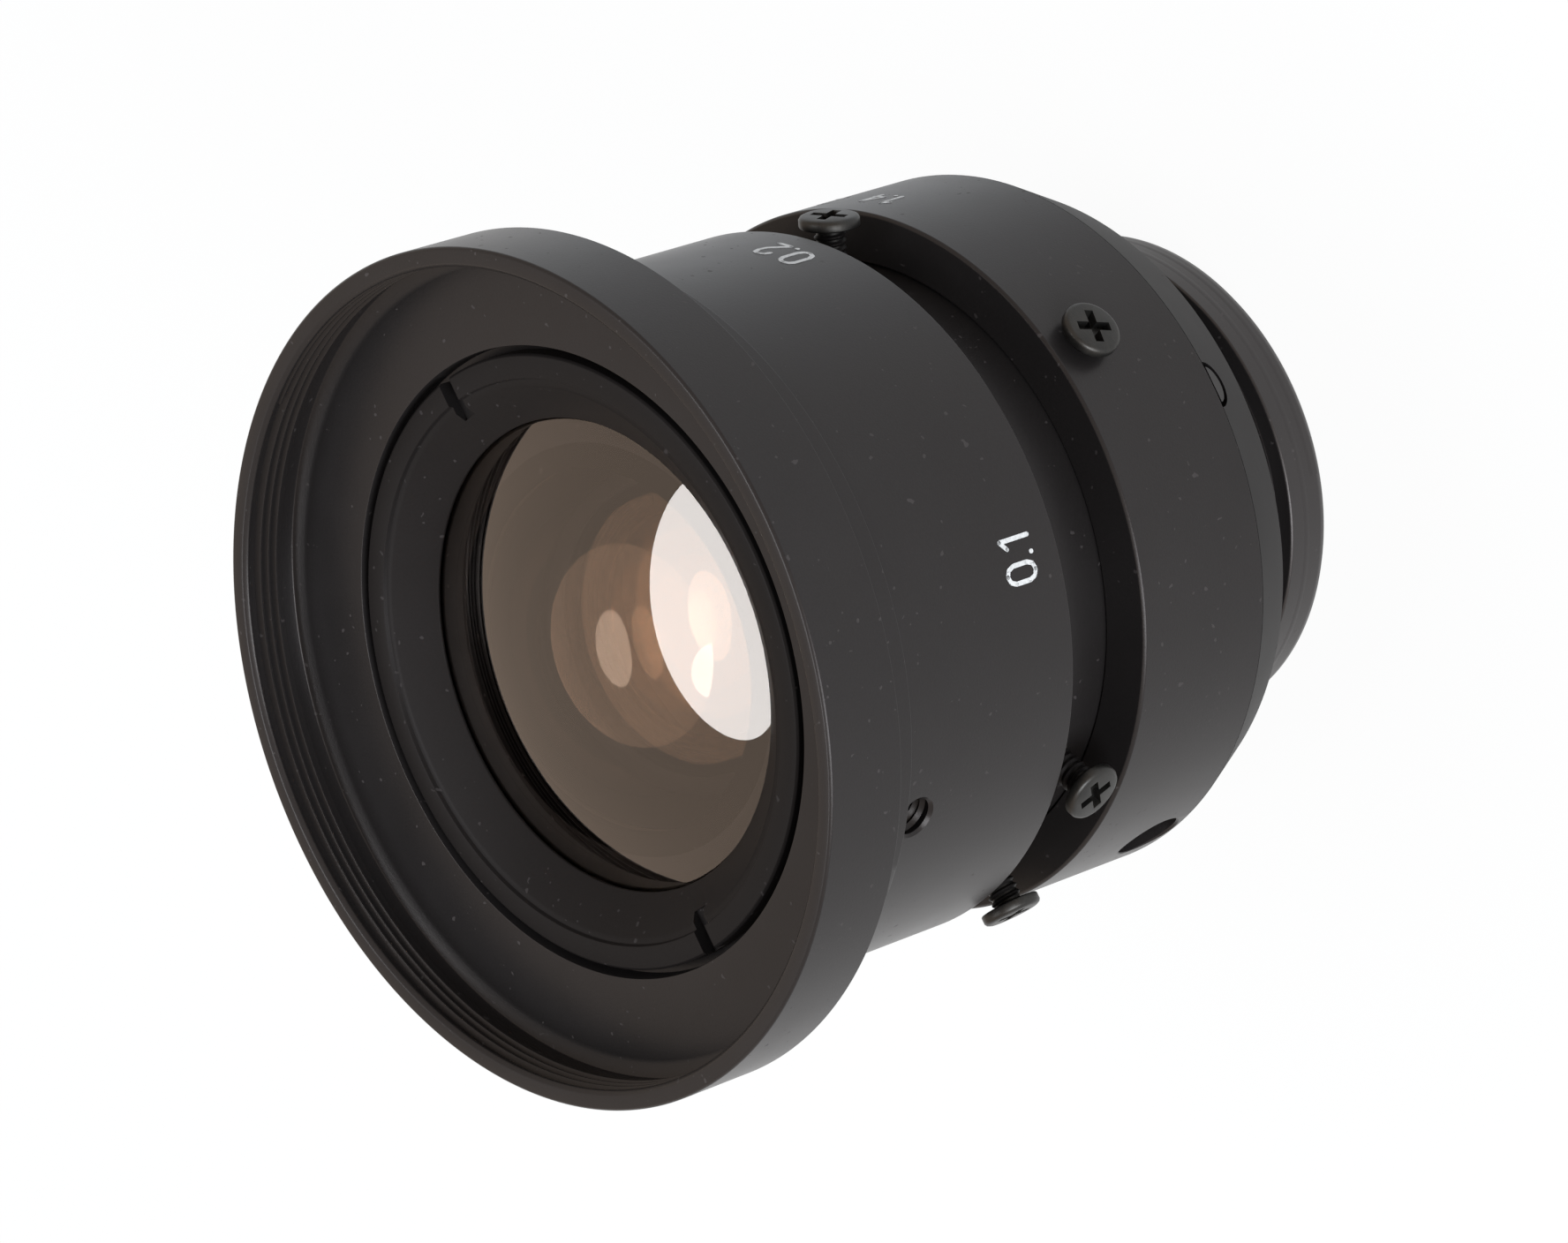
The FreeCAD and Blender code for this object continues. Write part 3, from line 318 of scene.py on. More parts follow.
@dataclass(frozen=True)
class Steel:
    """Steel, from black oxide to bright ground, with fine scratches."""

    name: str
    shade: float
    roughness: float

    SCRATCH_SCALE = 3200.0
    PATINA_SCALE = 900.0
    SCRATCH_DEPTH = 0.000006

    def material(self) -> Material:
        """Builds the finish.

        Returns:
            The material.
        """
        material = bpy.data.materials.new(self.name)
        graph = Graph(material)
        place = graph.place()
        stretched = graph.node("ShaderNodeMapping", {}, {"Vector": place, "Scale": (1.0, 1.0, 9.0)})
        scratches = graph.noise(stretched, self.SCRATCH_SCALE, 3.0, 0.7)
        patina = graph.noise(place, self.PATINA_SCALE, 2.0)
        worn = (self.shade * 1.25, self.shade * 1.2, self.shade * 1.12, 1.0)
        colour = graph.ramp(scratches * 0.6 + patina * 0.4, ((0.3, grey(self.shade * 0.7)), (0.7, worn)))
        surface = graph.node("ShaderNodeBsdfPrincipled", {}, {
            "Base Color": colour, "Metallic": 0.9, "Roughness": self.roughness + 0.15 * patina,
            "Normal": graph.bump(scratches, self.SCRATCH_DEPTH, 0.5)})
        graph.finish(surface)
        return material


@dataclass(frozen=True)
class CoatedGlass:
    """Optical glass with an anti-reflection coating of this tint and strength."""

    name: str
    tint: Colour
    index: float = 1.6
    extra: float = 0.02
    body_tint: Colour = (0.98, 0.94, 0.9, 1.0)

    SMEAR_SCALE = 70.0
    SMEAR_ROUGHNESS = 0.02

    def material(self) -> Material:
        """Builds the finish.

        Returns:
            The material.
        """
        material = bpy.data.materials.new(self.name)
        graph = Graph(material)
        smear = graph.noise(graph.place(), self.SMEAR_SCALE, 2.0, 0.4)
        through = graph.node("ShaderNodeBsdfRefraction", {}, {
            "Color": self.body_tint, "Roughness": 0.0, "IOR": self.index})
        mirror = graph.node("ShaderNodeBsdfGlossy", {}, {
            "Color": self.tint, "Roughness": smear * self.SMEAR_ROUGHNESS})
        share = graph.node("ShaderNodeFresnel", {}, {"IOR": self.index}) + self.extra
        surface = graph.node("ShaderNodeMixShader", {}, {0: share, 1: through, 2: mirror})
        graph.finish(surface)
        return material


@dataclass(frozen=True)
class Ink:
    """White marking ink, a little uneven."""

    name: str = "white_ink"
    worn: float = 0.48
    full: float = 0.64

    WEAR_SCALE = 5200.0
    WEAR_DEPTH = 0.000008

    def material(self) -> Material:
        """Builds the finish.

        Returns:
            The material.
        """
        material = bpy.data.materials.new(self.name)
        graph = Graph(material)
        wear = graph.noise(graph.place(), self.WEAR_SCALE, 3.0, 0.6)
        colour = graph.ramp(wear, ((0.3, grey(self.worn)), (0.62, grey(self.full))))
        surface = graph.node("ShaderNodeBsdfPrincipled", {}, {
            "Base Color": colour, "Roughness": 0.55 + 0.1 * wear,
            "Normal": graph.bump(wear, self.WEAR_DEPTH, 0.4)})
        graph.finish(surface)
        return material


class Section:
    """Half section drawn in the XZ plane, radius across and height up, then turned about Z."""

    ARC_STEPS = 20

    def __init__(self, start: Point) -> None:
        """Puts the pen at the first point.

        Args:
            start: radius and height in millimetres.
        """
        self.mesh = bmesh.new()
        self.first = self._vertex(start)
        self.last = self.first

    def _vertex(self, point: Point) -> bmesh.types.BMVert:
        """Adds one point of the section."""
        return self.mesh.verts.new((point[0] * MM, 0.0, point[1] * MM))

    def line(self, *points: Point) -> "Section":
        """Draws straight sides.

        Args:
            points: the corners to go through.

        Returns:
            This section.
        """
        for point in points:
            vertex = self._vertex(point)
            self.mesh.edges.new((self.last, vertex))
            self.last = vertex
        return self

    def arc(self, point: Point) -> "Section":
        """Draws an arc centred on the axis.

        Args:
            point: where the arc ends.

        Returns:
            This section.
        """
        across, up = self.last.co.x, self.last.co.z
        end_across, end_up = point[0] * MM, point[1] * MM
        centre = (end_across ** 2 - across ** 2 + end_up ** 2 - up ** 2) / (2 * (end_up - up))
        turn = math.atan2(up - centre, across) - math.atan2(end_up - centre, end_across)
        drawn = bmesh.ops.spin(self.mesh, geom=[self.last], cent=(0, 0, centre), axis=(0, 1, 0),
                               angle=turn, steps=self.ARC_STEPS, use_merge=False)
        self.last = [item for item in drawn["geom_last"] if isinstance(item, bmesh.types.BMVert)][0]
        return self

    def turned(self, segments: int, edge: float) -> BMesh:
        """Closes the section and turns it about Z.

        Args:
            segments: number of steps round the axis.
            edge: rounding of the sharp ring edges, in millimetres.

        Returns:
            The solid as a closed mesh.
        """
        mesh = self.mesh
        mesh.edges.new((self.last, self.first))
        bmesh.ops.spin(mesh, geom=mesh.verts[:] + mesh.edges[:], cent=(0, 0, 0), axis=(0, 0, 1),
                       angle=FULL_TURN, steps=segments, use_merge=True)
        bmesh.ops.remove_doubles(mesh, verts=mesh.verts, dist=WELD)
        bmesh.ops.recalc_face_normals(mesh, faces=mesh.faces)
        if edge > 0:
            sharp = [e for e in mesh.edges if len(e.link_faces) == 2 and e.calc_face_angle() > SMOOTH_ANGLE]
            bmesh.ops.bevel(mesh, geom=sharp, offset=edge * MM, offset_type="OFFSET", segments=2,
                            profile=0.5, affect="EDGES", material=-1, clamp_overlap=True)
        return mesh


def helix(root: float, crest: float, low: float, high: float, pitch: float, steps: int) -> BMesh:
    """A thread's ridge, wound about Z as a closed coil.

    Args:
        root: radius of the ridge's foot in millimetres.
        crest: radius of its crest.
        low: where the coil starts.
        high: where it ends.
        pitch: rise of one turn.
        steps: steps in a turn.

    Returns:
        The coil.
    """
    mesh = bmesh.new()
    foot = pitch * 0.49
    flat = pitch * 0.08
    corners = [mesh.verts.new((radius * MM, 0.0, (low + rise) * MM))
               for radius, rise in ((root, foot), (crest, flat), (crest, -flat), (root, -foot))]
    mesh.faces.new(corners)
    turns = (high - low) / pitch
    count = int(steps * turns)
    bmesh.ops.spin(mesh, geom=mesh.faces[:], cent=(0, 0, 0), axis=(0, 0, 1), angle=FULL_TURN * turns,
                   dvec=(0, 0, (high - low) * MM / count), steps=count, use_merge=False)
    bmesh.ops.recalc_face_normals(mesh, faces=mesh.faces)
    return mesh


def outwards(angle: float, height: float, spin: float = 0.0) -> Matrix:
    """Placement that lays a part made along Z on the radius at this angle and height.

    Args:
        angle: degrees about Z from X.
        height: millimetres over the rear end.
        spin: the part's own turn about its axis, in degrees.

    Returns:
        The matrix.
    """
    return (Matrix.Translation((0, 0, height * MM)) @ Matrix.Rotation(math.radians(angle), 4, "Z")
            @ Matrix.Rotation(math.radians(90), 4, "Y") @ Matrix.Rotation(math.radians(spin), 4, "Z"))


def drill(radius: float, inner: float, outer: float, chamfer: float, place: Matrix,
          ridges: Sequence[Point] = ()) -> BMesh:
    """A cutter for a radial hole.

    Args:
        radius: the hole's radius in millimetres.
        inner: distance from the axis at which the hole starts.
        outer: distance at which it meets the surface.
        chamfer: chamfer at its mouth.
        place: where the hole lies.
        ridges: extra (radius, distance) points of its wall, such as a thread's.

    Returns:
        The cutter.
    """
    spare = 0.6
    section = Section((0.0, inner)).line((radius, inner), *ridges, (radius, outer - chamfer),
                                         (radius + chamfer + spare, outer + spare), (0.0, outer + spare))
    mesh = section.turned(HOLE_STEPS, 0.0)
    mesh.transform(place)
    return mesh


def clip(mesh: BMesh, point: Point3, normal: Point3) -> None:
    """Cuts away what lies beyond a plane and closes the mesh again.

    Args:
        mesh: a closed mesh.
        point: a point of the plane, in metres.
        normal: the plane's normal, which points to what goes.
    """
    bmesh.ops.bisect_plane(mesh, geom=mesh.verts[:] + mesh.edges[:] + mesh.faces[:], plane_co=point,
                           plane_no=normal, clear_outer=True)
    bmesh.ops.holes_fill(mesh, edges=[edge for edge in mesh.edges if edge.is_boundary])


def block(size: Point3, centre: Point3, place: Matrix, taper: float = 1.0) -> BMesh:
    """A cutter with flat sides.

    Args:
        size: its lengths in millimetres.
        centre: its centre in the part's own frame.
        place: where that frame lies.
        taper: width of its lower end over that of its upper end.

    Returns:
        The cutter.
    """
    mesh = bmesh.new()
    bmesh.ops.create_cube(mesh, size=1.0)
    low = [vertex for vertex in mesh.verts if vertex.co.z < 0]
    bmesh.ops.scale(mesh, verts=low, vec=(taper, taper, 1.0))
    bmesh.ops.scale(mesh, verts=mesh.verts, vec=[length * MM for length in size])
    bmesh.ops.translate(mesh, verts=mesh.verts, vec=[length * MM for length in centre])
    mesh.transform(place)
    return mesh


def to_object(name: str, mesh: BMesh) -> Object:
    """Turns a bmesh into an object at the origin.

    Args:
        name: the object's name.
        mesh: the mesh, which is freed.

    Returns:
        The object.
    """
    data = bpy.data.meshes.new(name)
    mesh.to_mesh(data)
    mesh.free()
    made = bpy.data.objects.new(name, data)
    bpy.context.scene.collection.objects.link(made)
    return made


def cut(part: Object, cutters: Sequence[BMesh]) -> None:
    """Cuts the cutters out of a part, one after the other.

    Args:
        part: the part's object.
        cutters: closed meshes, which are used up.
    """
    tools = [to_object(f"{part.name}_cutter", cutter) for cutter in cutters]
    for tool in tools:
        modifier = part.modifiers.new("cut", "BOOLEAN")
        modifier.operation = "DIFFERENCE"
        modifier.solver = "EXACT"
        modifier.object = tool
    graph = bpy.context.evaluated_depsgraph_get()
    result = bpy.data.meshes.new_from_object(part.evaluated_get(graph))
    part.modifiers.clear()
    part.data = result
    for tool in tools:
        bpy.data.objects.remove(tool)


class Workshop:
    """Dresses finished meshes, ties them to their bodies and reports them."""

    def __init__(self) -> None:
        """Builds every finish once."""
        self.finishes = {
            Slot.ANODISED: Anodised().material(),
            Slot.INDEX: Anodised("index_black", shade=0.0085, roughness=0.42, turning=0.1, grain=0.3,
                                 specular=0.14).material(),
            Slot.BRIGHT_STEEL: Steel("bright_steel", 0.55, 0.22).material(),
            Slot.BLACK_STEEL: Steel("black_oxide_steel", 0.045, 0.34).material(),
            Slot.GLASS: CoatedGlass("inner_glass", (0.6, 0.45, 0.35, 1.0)).material(),
            Slot.BLADE: Steel("blade_steel", 0.06, 0.38).material(),
        }
        self.baffle = Anodised("baffle_black", shade=0.01, roughness=0.7, turning=0.0, grain=0.0,
                               specular=0.1, fineness=1500.0).material()
        self.edge_paint = Anodised("glass_edge_paint", shade=0.001, roughness=0.6, turning=0.0, grain=0.0,
                                   specular=0.0, fineness=400.0).material()
        # A rougher, darker anodising; on the mount base its darker colour is painted shade that offsets the
        # bright floor reflected in the tapered rim.
        self.dull_and_shaded = Anodised("dull_and_shaded_black", shade=0.0075, roughness=0.46, turning=0.2, grain=0.3,
                             specular=0.1).material()
        self.thread = Anodised("thread_black", shade=0.011, roughness=0.36, turning=0.1, grain=0.3,
                               specular=0.5).material()
        self.front_glass = CoatedGlass("front_glass", (1.0, 0.92, 0.86, 1.0), extra=0.055).material()
        self.ink = Ink().material()

    def keep(self, part: Object, body: str, slot: Slot, replaces: Sequence[str] = (),
             finish: Optional[Material] = None, weighted: bool = True) -> None:
        """Finishes a piece and ties it to its body.

        Args:
            part: the piece.
            body: the body that it rides on.
            slot: the record's slot that it takes its finish from.
            replaces: CAD nodes that it stands for.
            finish: a finish other than the slot's own.
            weighted: whether its flat faces keep flat normals beside their rounded edges.
        """
        mesh = part.data
        mesh.materials.clear()
        mesh.materials.append(finish or self.finishes[slot])
        mesh.shade_smooth()
        mesh.set_sharp_from_angle(angle=SMOOTH_ANGLE)
        if weighted:
            modifier = part.modifiers.new("flat_faces", "WEIGHTED_NORMAL")
            modifier.keep_sharp = True
        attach(part, body)
        if replaces:
            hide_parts(*replaces)
        log.info("%s: %d faces on %s", part.name, len(mesh.polygons), body)

    def turn(self, name: str, section: Section, body: Body, edge: float, segments: int = 192,
             cutters: Sequence[BMesh] = (), slot: Slot = Slot.ANODISED,
             finish: Optional[Material] = None) -> Object:
        """Turns a section, cuts its holes and dresses it.

        Args:
            name: the name of the piece and of the CAD node that it stands for.
            section: its half section.
            body: the body that it rides on.
            edge: rounding of its edges in millimetres.
            segments: steps round the axis.
            cutters: holes and slots to cut.
            slot: the record's slot.
            finish: a finish other than the slot's own.

        Returns:
            The piece.
        """
        part = to_object(name, section.turned(segments, edge))
        if cutters:
            cut(part, cutters)
        self.keep(part, body.value, slot, [name], finish)
        return part

    def dress_cad_nodes(self) -> None:
        """Gives the CAD nodes that stay visible their finishes."""
        steel = self.finishes[Slot.BRIGHT_STEEL]
        inner = {"lens_cell": self.baffle, "iris_housing": self.baffle, "iris_retainer": self.baffle,
                 "iris_cam_ring": self.baffle, "focus_retaining_ring": self.finishes[Slot.ANODISED],
                 "guide_pin": steel, "focus_stop_pin": steel, "iris_drive_pin": steel}
        for number in range(1, BLADES + 1):
            inner[f"iris_blade_{number}"] = self.finishes[Slot.BLADE]
        for name, finish in inner.items():
            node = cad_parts[name]
            node.data.materials.clear()
            node.data.materials.append(finish)
            log.info("%s: CAD mesh with %s", name, finish.name)


STROKES: dict[str, list[Point]] = {
    "0": [(0.5, 1.0), (0.2, 0.93), (0.06, 0.75), (0.06, 0.25), (0.2, 0.07), (0.5, 0.0), (0.8, 0.07),
          (0.94, 0.25), (0.94, 0.75), (0.8, 0.93), (0.5, 1.0)],
    "1": [(0.1, 0.8), (0.8, 1.0), (0.8, 0.0)],
    "2": [(0.08, 0.76), (0.2, 0.94), (0.5, 1.0), (0.8, 0.94), (0.92, 0.74), (0.82, 0.5), (0.08, 0.0),
          (0.94, 0.0)],
    "4": [(0.72, 0.0), (0.72, 1.0), (0.04, 0.28), (0.96, 0.28)],
    "5": [(0.9, 1.0), (0.2, 1.0), (0.12, 0.56), (0.5, 0.63), (0.84, 0.52), (0.94, 0.3), (0.82, 0.08),
          (0.5, 0.0), (0.2, 0.05), (0.06, 0.2)],
    "8": [(0.5, 0.53), (0.2, 0.62), (0.12, 0.78), (0.24, 0.95), (0.5, 1.0), (0.76, 0.95), (0.88, 0.78),
          (0.8, 0.62), (0.5, 0.53), (0.18, 0.43), (0.06, 0.25), (0.18, 0.06), (0.5, 0.0), (0.82, 0.06),
          (0.94, 0.25), (0.82, 0.43), (0.5, 0.53)],
    ".": [(0.5, 0.0), (0.5, 0.02)],
    "~": [(1.0, 0.5), (0.7, 0.74), (0.3, 0.74), (0.0, 0.5), (0.3, 0.26), (0.7, 0.26), (1.0, 0.5),
          (1.3, 0.74), (1.7, 0.74), (2.0, 0.5), (1.7, 0.26), (1.3, 0.26), (1.0, 0.5)],
}


@dataclass
class Marking:
    """Plain numbers in white ink, wrapped round a cylinder; "~" draws the far-focus sign."""

    text: str
    angle: float
    height: float
    radius: float
    tall: float = 1.85
    wide: float = 0.98
    stroke: float = 0.23
    gap: float = 0.24
    proud: float = 0.02

    ROUND_STEPS = 12

    def advance(self, sign: str) -> float:
        """Width that a sign takes, in millimetres."""
        return {".": self.stroke, "~": 2 * self.wide, "1": 0.6 * self.wide}.get(sign, self.wide)

    def build(self, shop: Workshop, name: str, body: Body) -> None:
        """Builds the numbers as flat strokes with round ends.

        Args:
            shop: dresses the piece.
            name: the piece's name.
            body: the body that it rides on.
        """
        total = sum(self.advance(sign) for sign in self.text) + self.gap * (len(self.text) - 1)
        mesh = bmesh.new()
        left = -total / 2
        for sign in self.text:
            wide = self.advance(sign)
            scale = wide / 2 if sign == "~" else wide
            points = [(left + across * scale, (up - 0.5) * self.tall) for across, up in STROKES[sign]]
            for start, end in zip(points, points[1:]):
                self.draw(mesh, start, end)
            left += wide + self.gap
        part = to_object(name, mesh)
        shop.keep(part, body.value, Slot.ANODISED, finish=shop.ink, weighted=False)

    def draw(self, mesh: BMesh, start: Point, end: Point) -> None:
        """Adds one straight stroke with round ends to the mesh.

        Args:
            mesh: where it goes.
            start: its first point, in millimetres from the marking's middle.
            end: its last point.
        """
        made: list[bmesh.types.BMVert] = []
        for across, up in (start, end):
            turn = Matrix.Rotation(math.radians(self.angle) + across / self.radius, 4, "Z")
            place = (turn @ Matrix.Translation((self.radius * MM, 0, (self.height + up) * MM))
                     @ Matrix.Rotation(math.radians(90), 4, "Y"))
            drawn = bmesh.ops.create_cone(
                mesh, cap_ends=True, segments=self.ROUND_STEPS, radius1=self.stroke / 2 * MM,
                radius2=self.stroke / 2 * MM, depth=2 * self.proud * MM, matrix=place)
            made += drawn["verts"]
        hull = bmesh.ops.convex_hull(mesh, input=made, use_existing_faces=False)
        spare = {item for key in ("geom_interior", "geom_unused") for item in hull[key]}
        loose = [item for item in spare if isinstance(item, bmesh.types.BMVert) and item.is_valid]
        bmesh.ops.delete(mesh, geom=loose, context="VERTS")


@dataclass
class LockScrew:
    """Pan-head lock screw with a cross recess and a threaded shank."""

    name: str
    body: str
    angle: float
    height: float
    tip: float
    top: float
    spin: float
    head_radius: float = 1.5
    head_height: float = 0.58
    shank_radius: float = 0.8
    thread_depth: float = 0.12
    pitch: float = 0.35
    cross_length: float = 2.1
    cross_width: float = 0.54
    cross_depth: float = 0.48
    cross_taper: float = 0.8

    HEAD_STEPS = 64
    COIL_STEPS = 32
    CUTTER_HEIGHT = 1.2

    def build(self, shop: Workshop) -> None:
        """Builds the screw in its place.

        Args:
            shop: dresses the piece.
        """
        top, rim = self.top, self.head_radius
        under = top - self.head_height
        core = self.shank_radius - self.thread_depth
        section = Section((0.0, self.tip)).line(
            (core, self.tip), (core, under - 0.1), (core + 0.1, under), (rim - 0.05, under),
            (rim, under + 0.05), (rim, top - 0.2), (rim - 0.07, top - 0.08), (rim - 0.22, top - 0.01),
            (0.0, top))
        place = outwards(self.angle, self.height, self.spin)
        head = section.turned(self.HEAD_STEPS, 0.03)
        coil = helix(core - 0.04, self.shank_radius - 0.01, self.tip + self.pitch / 2,
                     under - self.pitch / 2, self.pitch, self.COIL_STEPS)
        head.transform(place)
        coil.transform(place)
        part = to_object(self.name, head)
        middle = (0.0, 0.0, top - self.cross_depth + self.CUTTER_HEIGHT / 2)
        arms = [(self.cross_length, self.cross_width, self.CUTTER_HEIGHT),
                (self.cross_width, self.cross_length, self.CUTTER_HEIGHT)]
        cut(part, [block(size, middle, place, self.cross_taper) for size in arms])
        shop.keep(part, self.body, Slot.BLACK_STEEL, [self.name])
        thread = to_object(f"{self.name}_thread", coil)
        shop.keep(thread, self.body, Slot.BLACK_STEEL, finish=shop.dull_and_shaded, weighted=False)


@dataclass
class FrontHood:
    """Filter hood and collar with the filter thread and the recess in front of the glass."""

    radius: float = 21.0
    bore: float = 20.0
    thread_root: float = 20.3
    thread_low: float = 41.45
    pitch: float = 0.5
    front: float = 44.0
    back: float = 39.5
    collar: float = 19.2
    rear: float = 37.0
    floor: float = 40.35
    corner: float = 19.5
    well: float = 15.5
    well_floor: float = 39.25
    neck: float = 14.62
    relief: float = 20.35
    chamfer: float = 0.12
    hole_radius: float = 1.0
    hole_angle: float = -34.5
    hole_height: float = 38.6

    COIL_STEPS = 160

    def build(self, shop: Workshop) -> None:
        """Builds the hood and its thread.

        Args:
            shop: dresses the pieces.
        """
        front, low, floor = self.front, self.thread_low, self.floor
        section = Section((self.neck, self.rear)).line(
            (self.collar, self.rear), (self.collar, self.back), (self.radius, self.back),
            (self.radius, front - self.chamfer), (self.radius - self.chamfer, front),
            (self.bore + 0.2, front), (self.bore, front - 0.2), (self.bore, front - 0.34),
            (self.thread_root, front - 0.42), (self.thread_root, low), (self.relief, low - 0.1),
            (self.relief, floor + 0.3), (self.corner + 0.25, floor + 0.06), (self.corner, floor),
            (self.well, floor), (self.well, self.well_floor), (self.neck, self.well_floor))
        hole = drill(self.hole_radius, self.neck - 1.12, self.collar, 0.12,
                     outwards(self.hole_angle, self.hole_height))
        shop.turn("front_hood", section, Body.OPTICS, edge=0.05, segments=256, cutters=[hole])
        coil = helix(self.thread_root + 0.03, self.bore + 0.02, low + 0.24, front - 0.62, self.pitch,
                     self.COIL_STEPS)
        part = to_object("front_hood_filter_thread", coil)
        shop.keep(part, Body.OPTICS.value, Slot.ANODISED, weighted=False)


@dataclass
class FrontRetainingRing:
    """Ring round the front glass, with a cone and two spanner slots."""

    top: float = 40.35
    low: float = 39.25
    radius: float = 15.1
    land: float = 13.9
    cone: float = 13.45
    opening: float = 11.65
    nose: float = 38.74
    foot: float = 38.22
    foot_inner: float = 12.4
    foot_outer: float = 13.4
    chamfer: float = 0.12
    slot_angle: float = 112.5
    slot_width: float = 0.9
    slot_depth: float = 0.7
    slot_inner: float = 13.0

    CUTTER_SPARE = 1.0
    OUTER_SPARE = 0.6

    def build(self, shop: Workshop) -> None:
        """Builds the ring.

        Args:
            shop: dresses the piece.
        """
        step = self.top - 0.22
        section = Section((self.opening, self.nose - 0.12)).line(
            (self.foot_inner, self.foot), (self.foot_outer, self.foot), (self.foot_outer, self.low),
            (self.radius, self.low), (self.radius, self.top - self.chamfer),
            (self.radius - self.chamfer, self.top), (self.land, self.top), (self.land - 0.06, step),
            (self.cone, step), (self.opening + 0.12, self.nose + 0.08), (self.opening, self.nose))
        outer = self.radius + self.OUTER_SPARE
        size = (outer - self.slot_inner, self.slot_width, self.slot_depth + self.CUTTER_SPARE)
        middle = ((self.slot_inner + outer) / 2, 0.0, self.top + (self.CUTTER_SPARE - self.slot_depth) / 2)
        cutters = [block(size, middle, Matrix.Rotation(math.radians(angle), 4, "Z"))
                   for angle in (self.slot_angle, self.slot_angle + 180)]
        shop.turn("front_retaining_ring", section, Body.OPTICS, edge=0.03,
                  segments=256, cutters=cutters, finish=shop.dull_and_shaded)


@dataclass
class Element:
    """One glass: heights of its flat rims, its radius, its clear radius and its two bulges."""

    name: str
    top: float
    low: float
    radius: float
    clear: float
    top_bulge: float
    low_bulge: float

    def section(self) -> Section:
        """Draws its half section.

        Returns:
            The section.
        """
        pen = Section((0.0, self.low - self.low_bulge)).arc((self.clear, self.low))
        pen.line((self.radius, self.low), (self.radius, self.top))
        if self.clear < self.radius:
            pen.line((self.clear, self.top))
        return pen.arc((0.0, self.top + self.top_bulge))


@dataclass
class GlassStack:
    """All the glasses with the spacers between them; the front one has its own fields."""

    front_radius: float = 12.4
    front_clear: float = 8.3
    front_low: float = 35.85
    front_rim: float = 38.2
    front_hollow: float = 39.8
    front_crown: float = 41.1
    elements: list[Element] = field(default_factory=lambda: [
        Element("second_element", 33.25, 31.35, 10.48, 8.0, -0.55, -0.55),
        Element("third_element", 29.15, 27.85, 10.48, 8.0, 1.5, 1.5),
        Element("fourth_element", 25.45, 24.05, 10.48, 8.0, 0.7, 0.7),
        Element("rear_crown_element", 12.6, 11.0, 7.6, 6.7, 1.1, 1.1),
        Element("rear_flint_element", 10.99, 8.8, 7.6, 6.7, -1.1, 0.8),
        Element("rear_element", 6.9, 4.5, 7.6, 6.7, 1.0, 1.0),
    ])

    UPRIGHT = 0.01
    LEVEL = 0.9999
    GROOVES = 5

    def build(self, shop: Workshop) -> None:
        """Builds glasses and spacers.

        Args:
            shop: dresses the pieces.
        """
        front = Section((0.0, self.front_hollow)).arc((self.front_clear, self.front_low)).line(
            (self.front_radius, self.front_low), (self.front_radius, self.front_rim)).arc(
            (0.0, self.front_crown))
        part = shop.turn("front_element", front, Body.OPTICS, edge=0.0,
                         slot=Slot.GLASS, finish=shop.front_glass)
        self.blacken(part, self.front_clear, shop)
        for element in self.elements:
            part = shop.turn(element.name, element.section(), Body.OPTICS, edge=0.0, slot=Slot.GLASS)
            self.blacken(part, element.clear, shop)
        for name, heights, outer, bores in (
                ("front_spacer", (35.85, 33.25), 10.48, (9.5, 8.5)),
                ("middle_spacer", (31.35, 29.15), 10.48, (8.5, 8.5)),
                ("inner_spacer", (27.85, 25.45), 10.48, (8.5, 8.5)),
                ("rear_spacer", (8.8, 6.9), 7.6, (6.7, 6.7))):
            self.spacer(shop, name, heights, outer, bores)

    def blacken(self, part: Object, clear: float, shop: Workshop) -> None:
        """Paints a glass's ground rims black and gives its lower side the inner coating.

        Args:
            part: the glass.
            clear: radius in millimetres inside which both sides stay clear.
            shop: has the paint.
        """
        part.data.materials.append(shop.edge_paint)
        part.data.materials.append(shop.finishes[Slot.GLASS])
        for face in part.data.polygons:
            slant = abs(face.normal.z)
            ground = slant < self.UPRIGHT or slant > self.LEVEL
            if ground and face.center.xy.length > clear * MM:
                face.material_index = 1
            elif face.normal.z < 0:
                face.material_index = 2

    def spacer(self, shop: Workshop, name: str, heights: Point, outer: float, bores: Point) -> None:
        """Builds one spacer, its bore grooved as a light trap.

        Args:
            shop: dresses the piece.
            name: the spacer's name.
            heights: its upper and lower height.
            outer: its outer radius.
            bores: its bore's radius at the top and at the bottom.
        """
        top, low = heights
        top_bore, low_bore = bores
        pen = Section((low_bore, low)).line((outer, low), (outer, top), (top_bore, top))
        for step in range(self.GROOVES):
            share = (step + 0.5) / self.GROOVES
            radius = top_bore + (low_bore - top_bore) * share
            height = top + (low - top) * share
            pen.line((radius + 0.12, height + 0.12), (radius, height - 0.08))
        shop.turn(name, pen, Body.OPTICS, edge=0.0, segments=128, finish=shop.baffle)


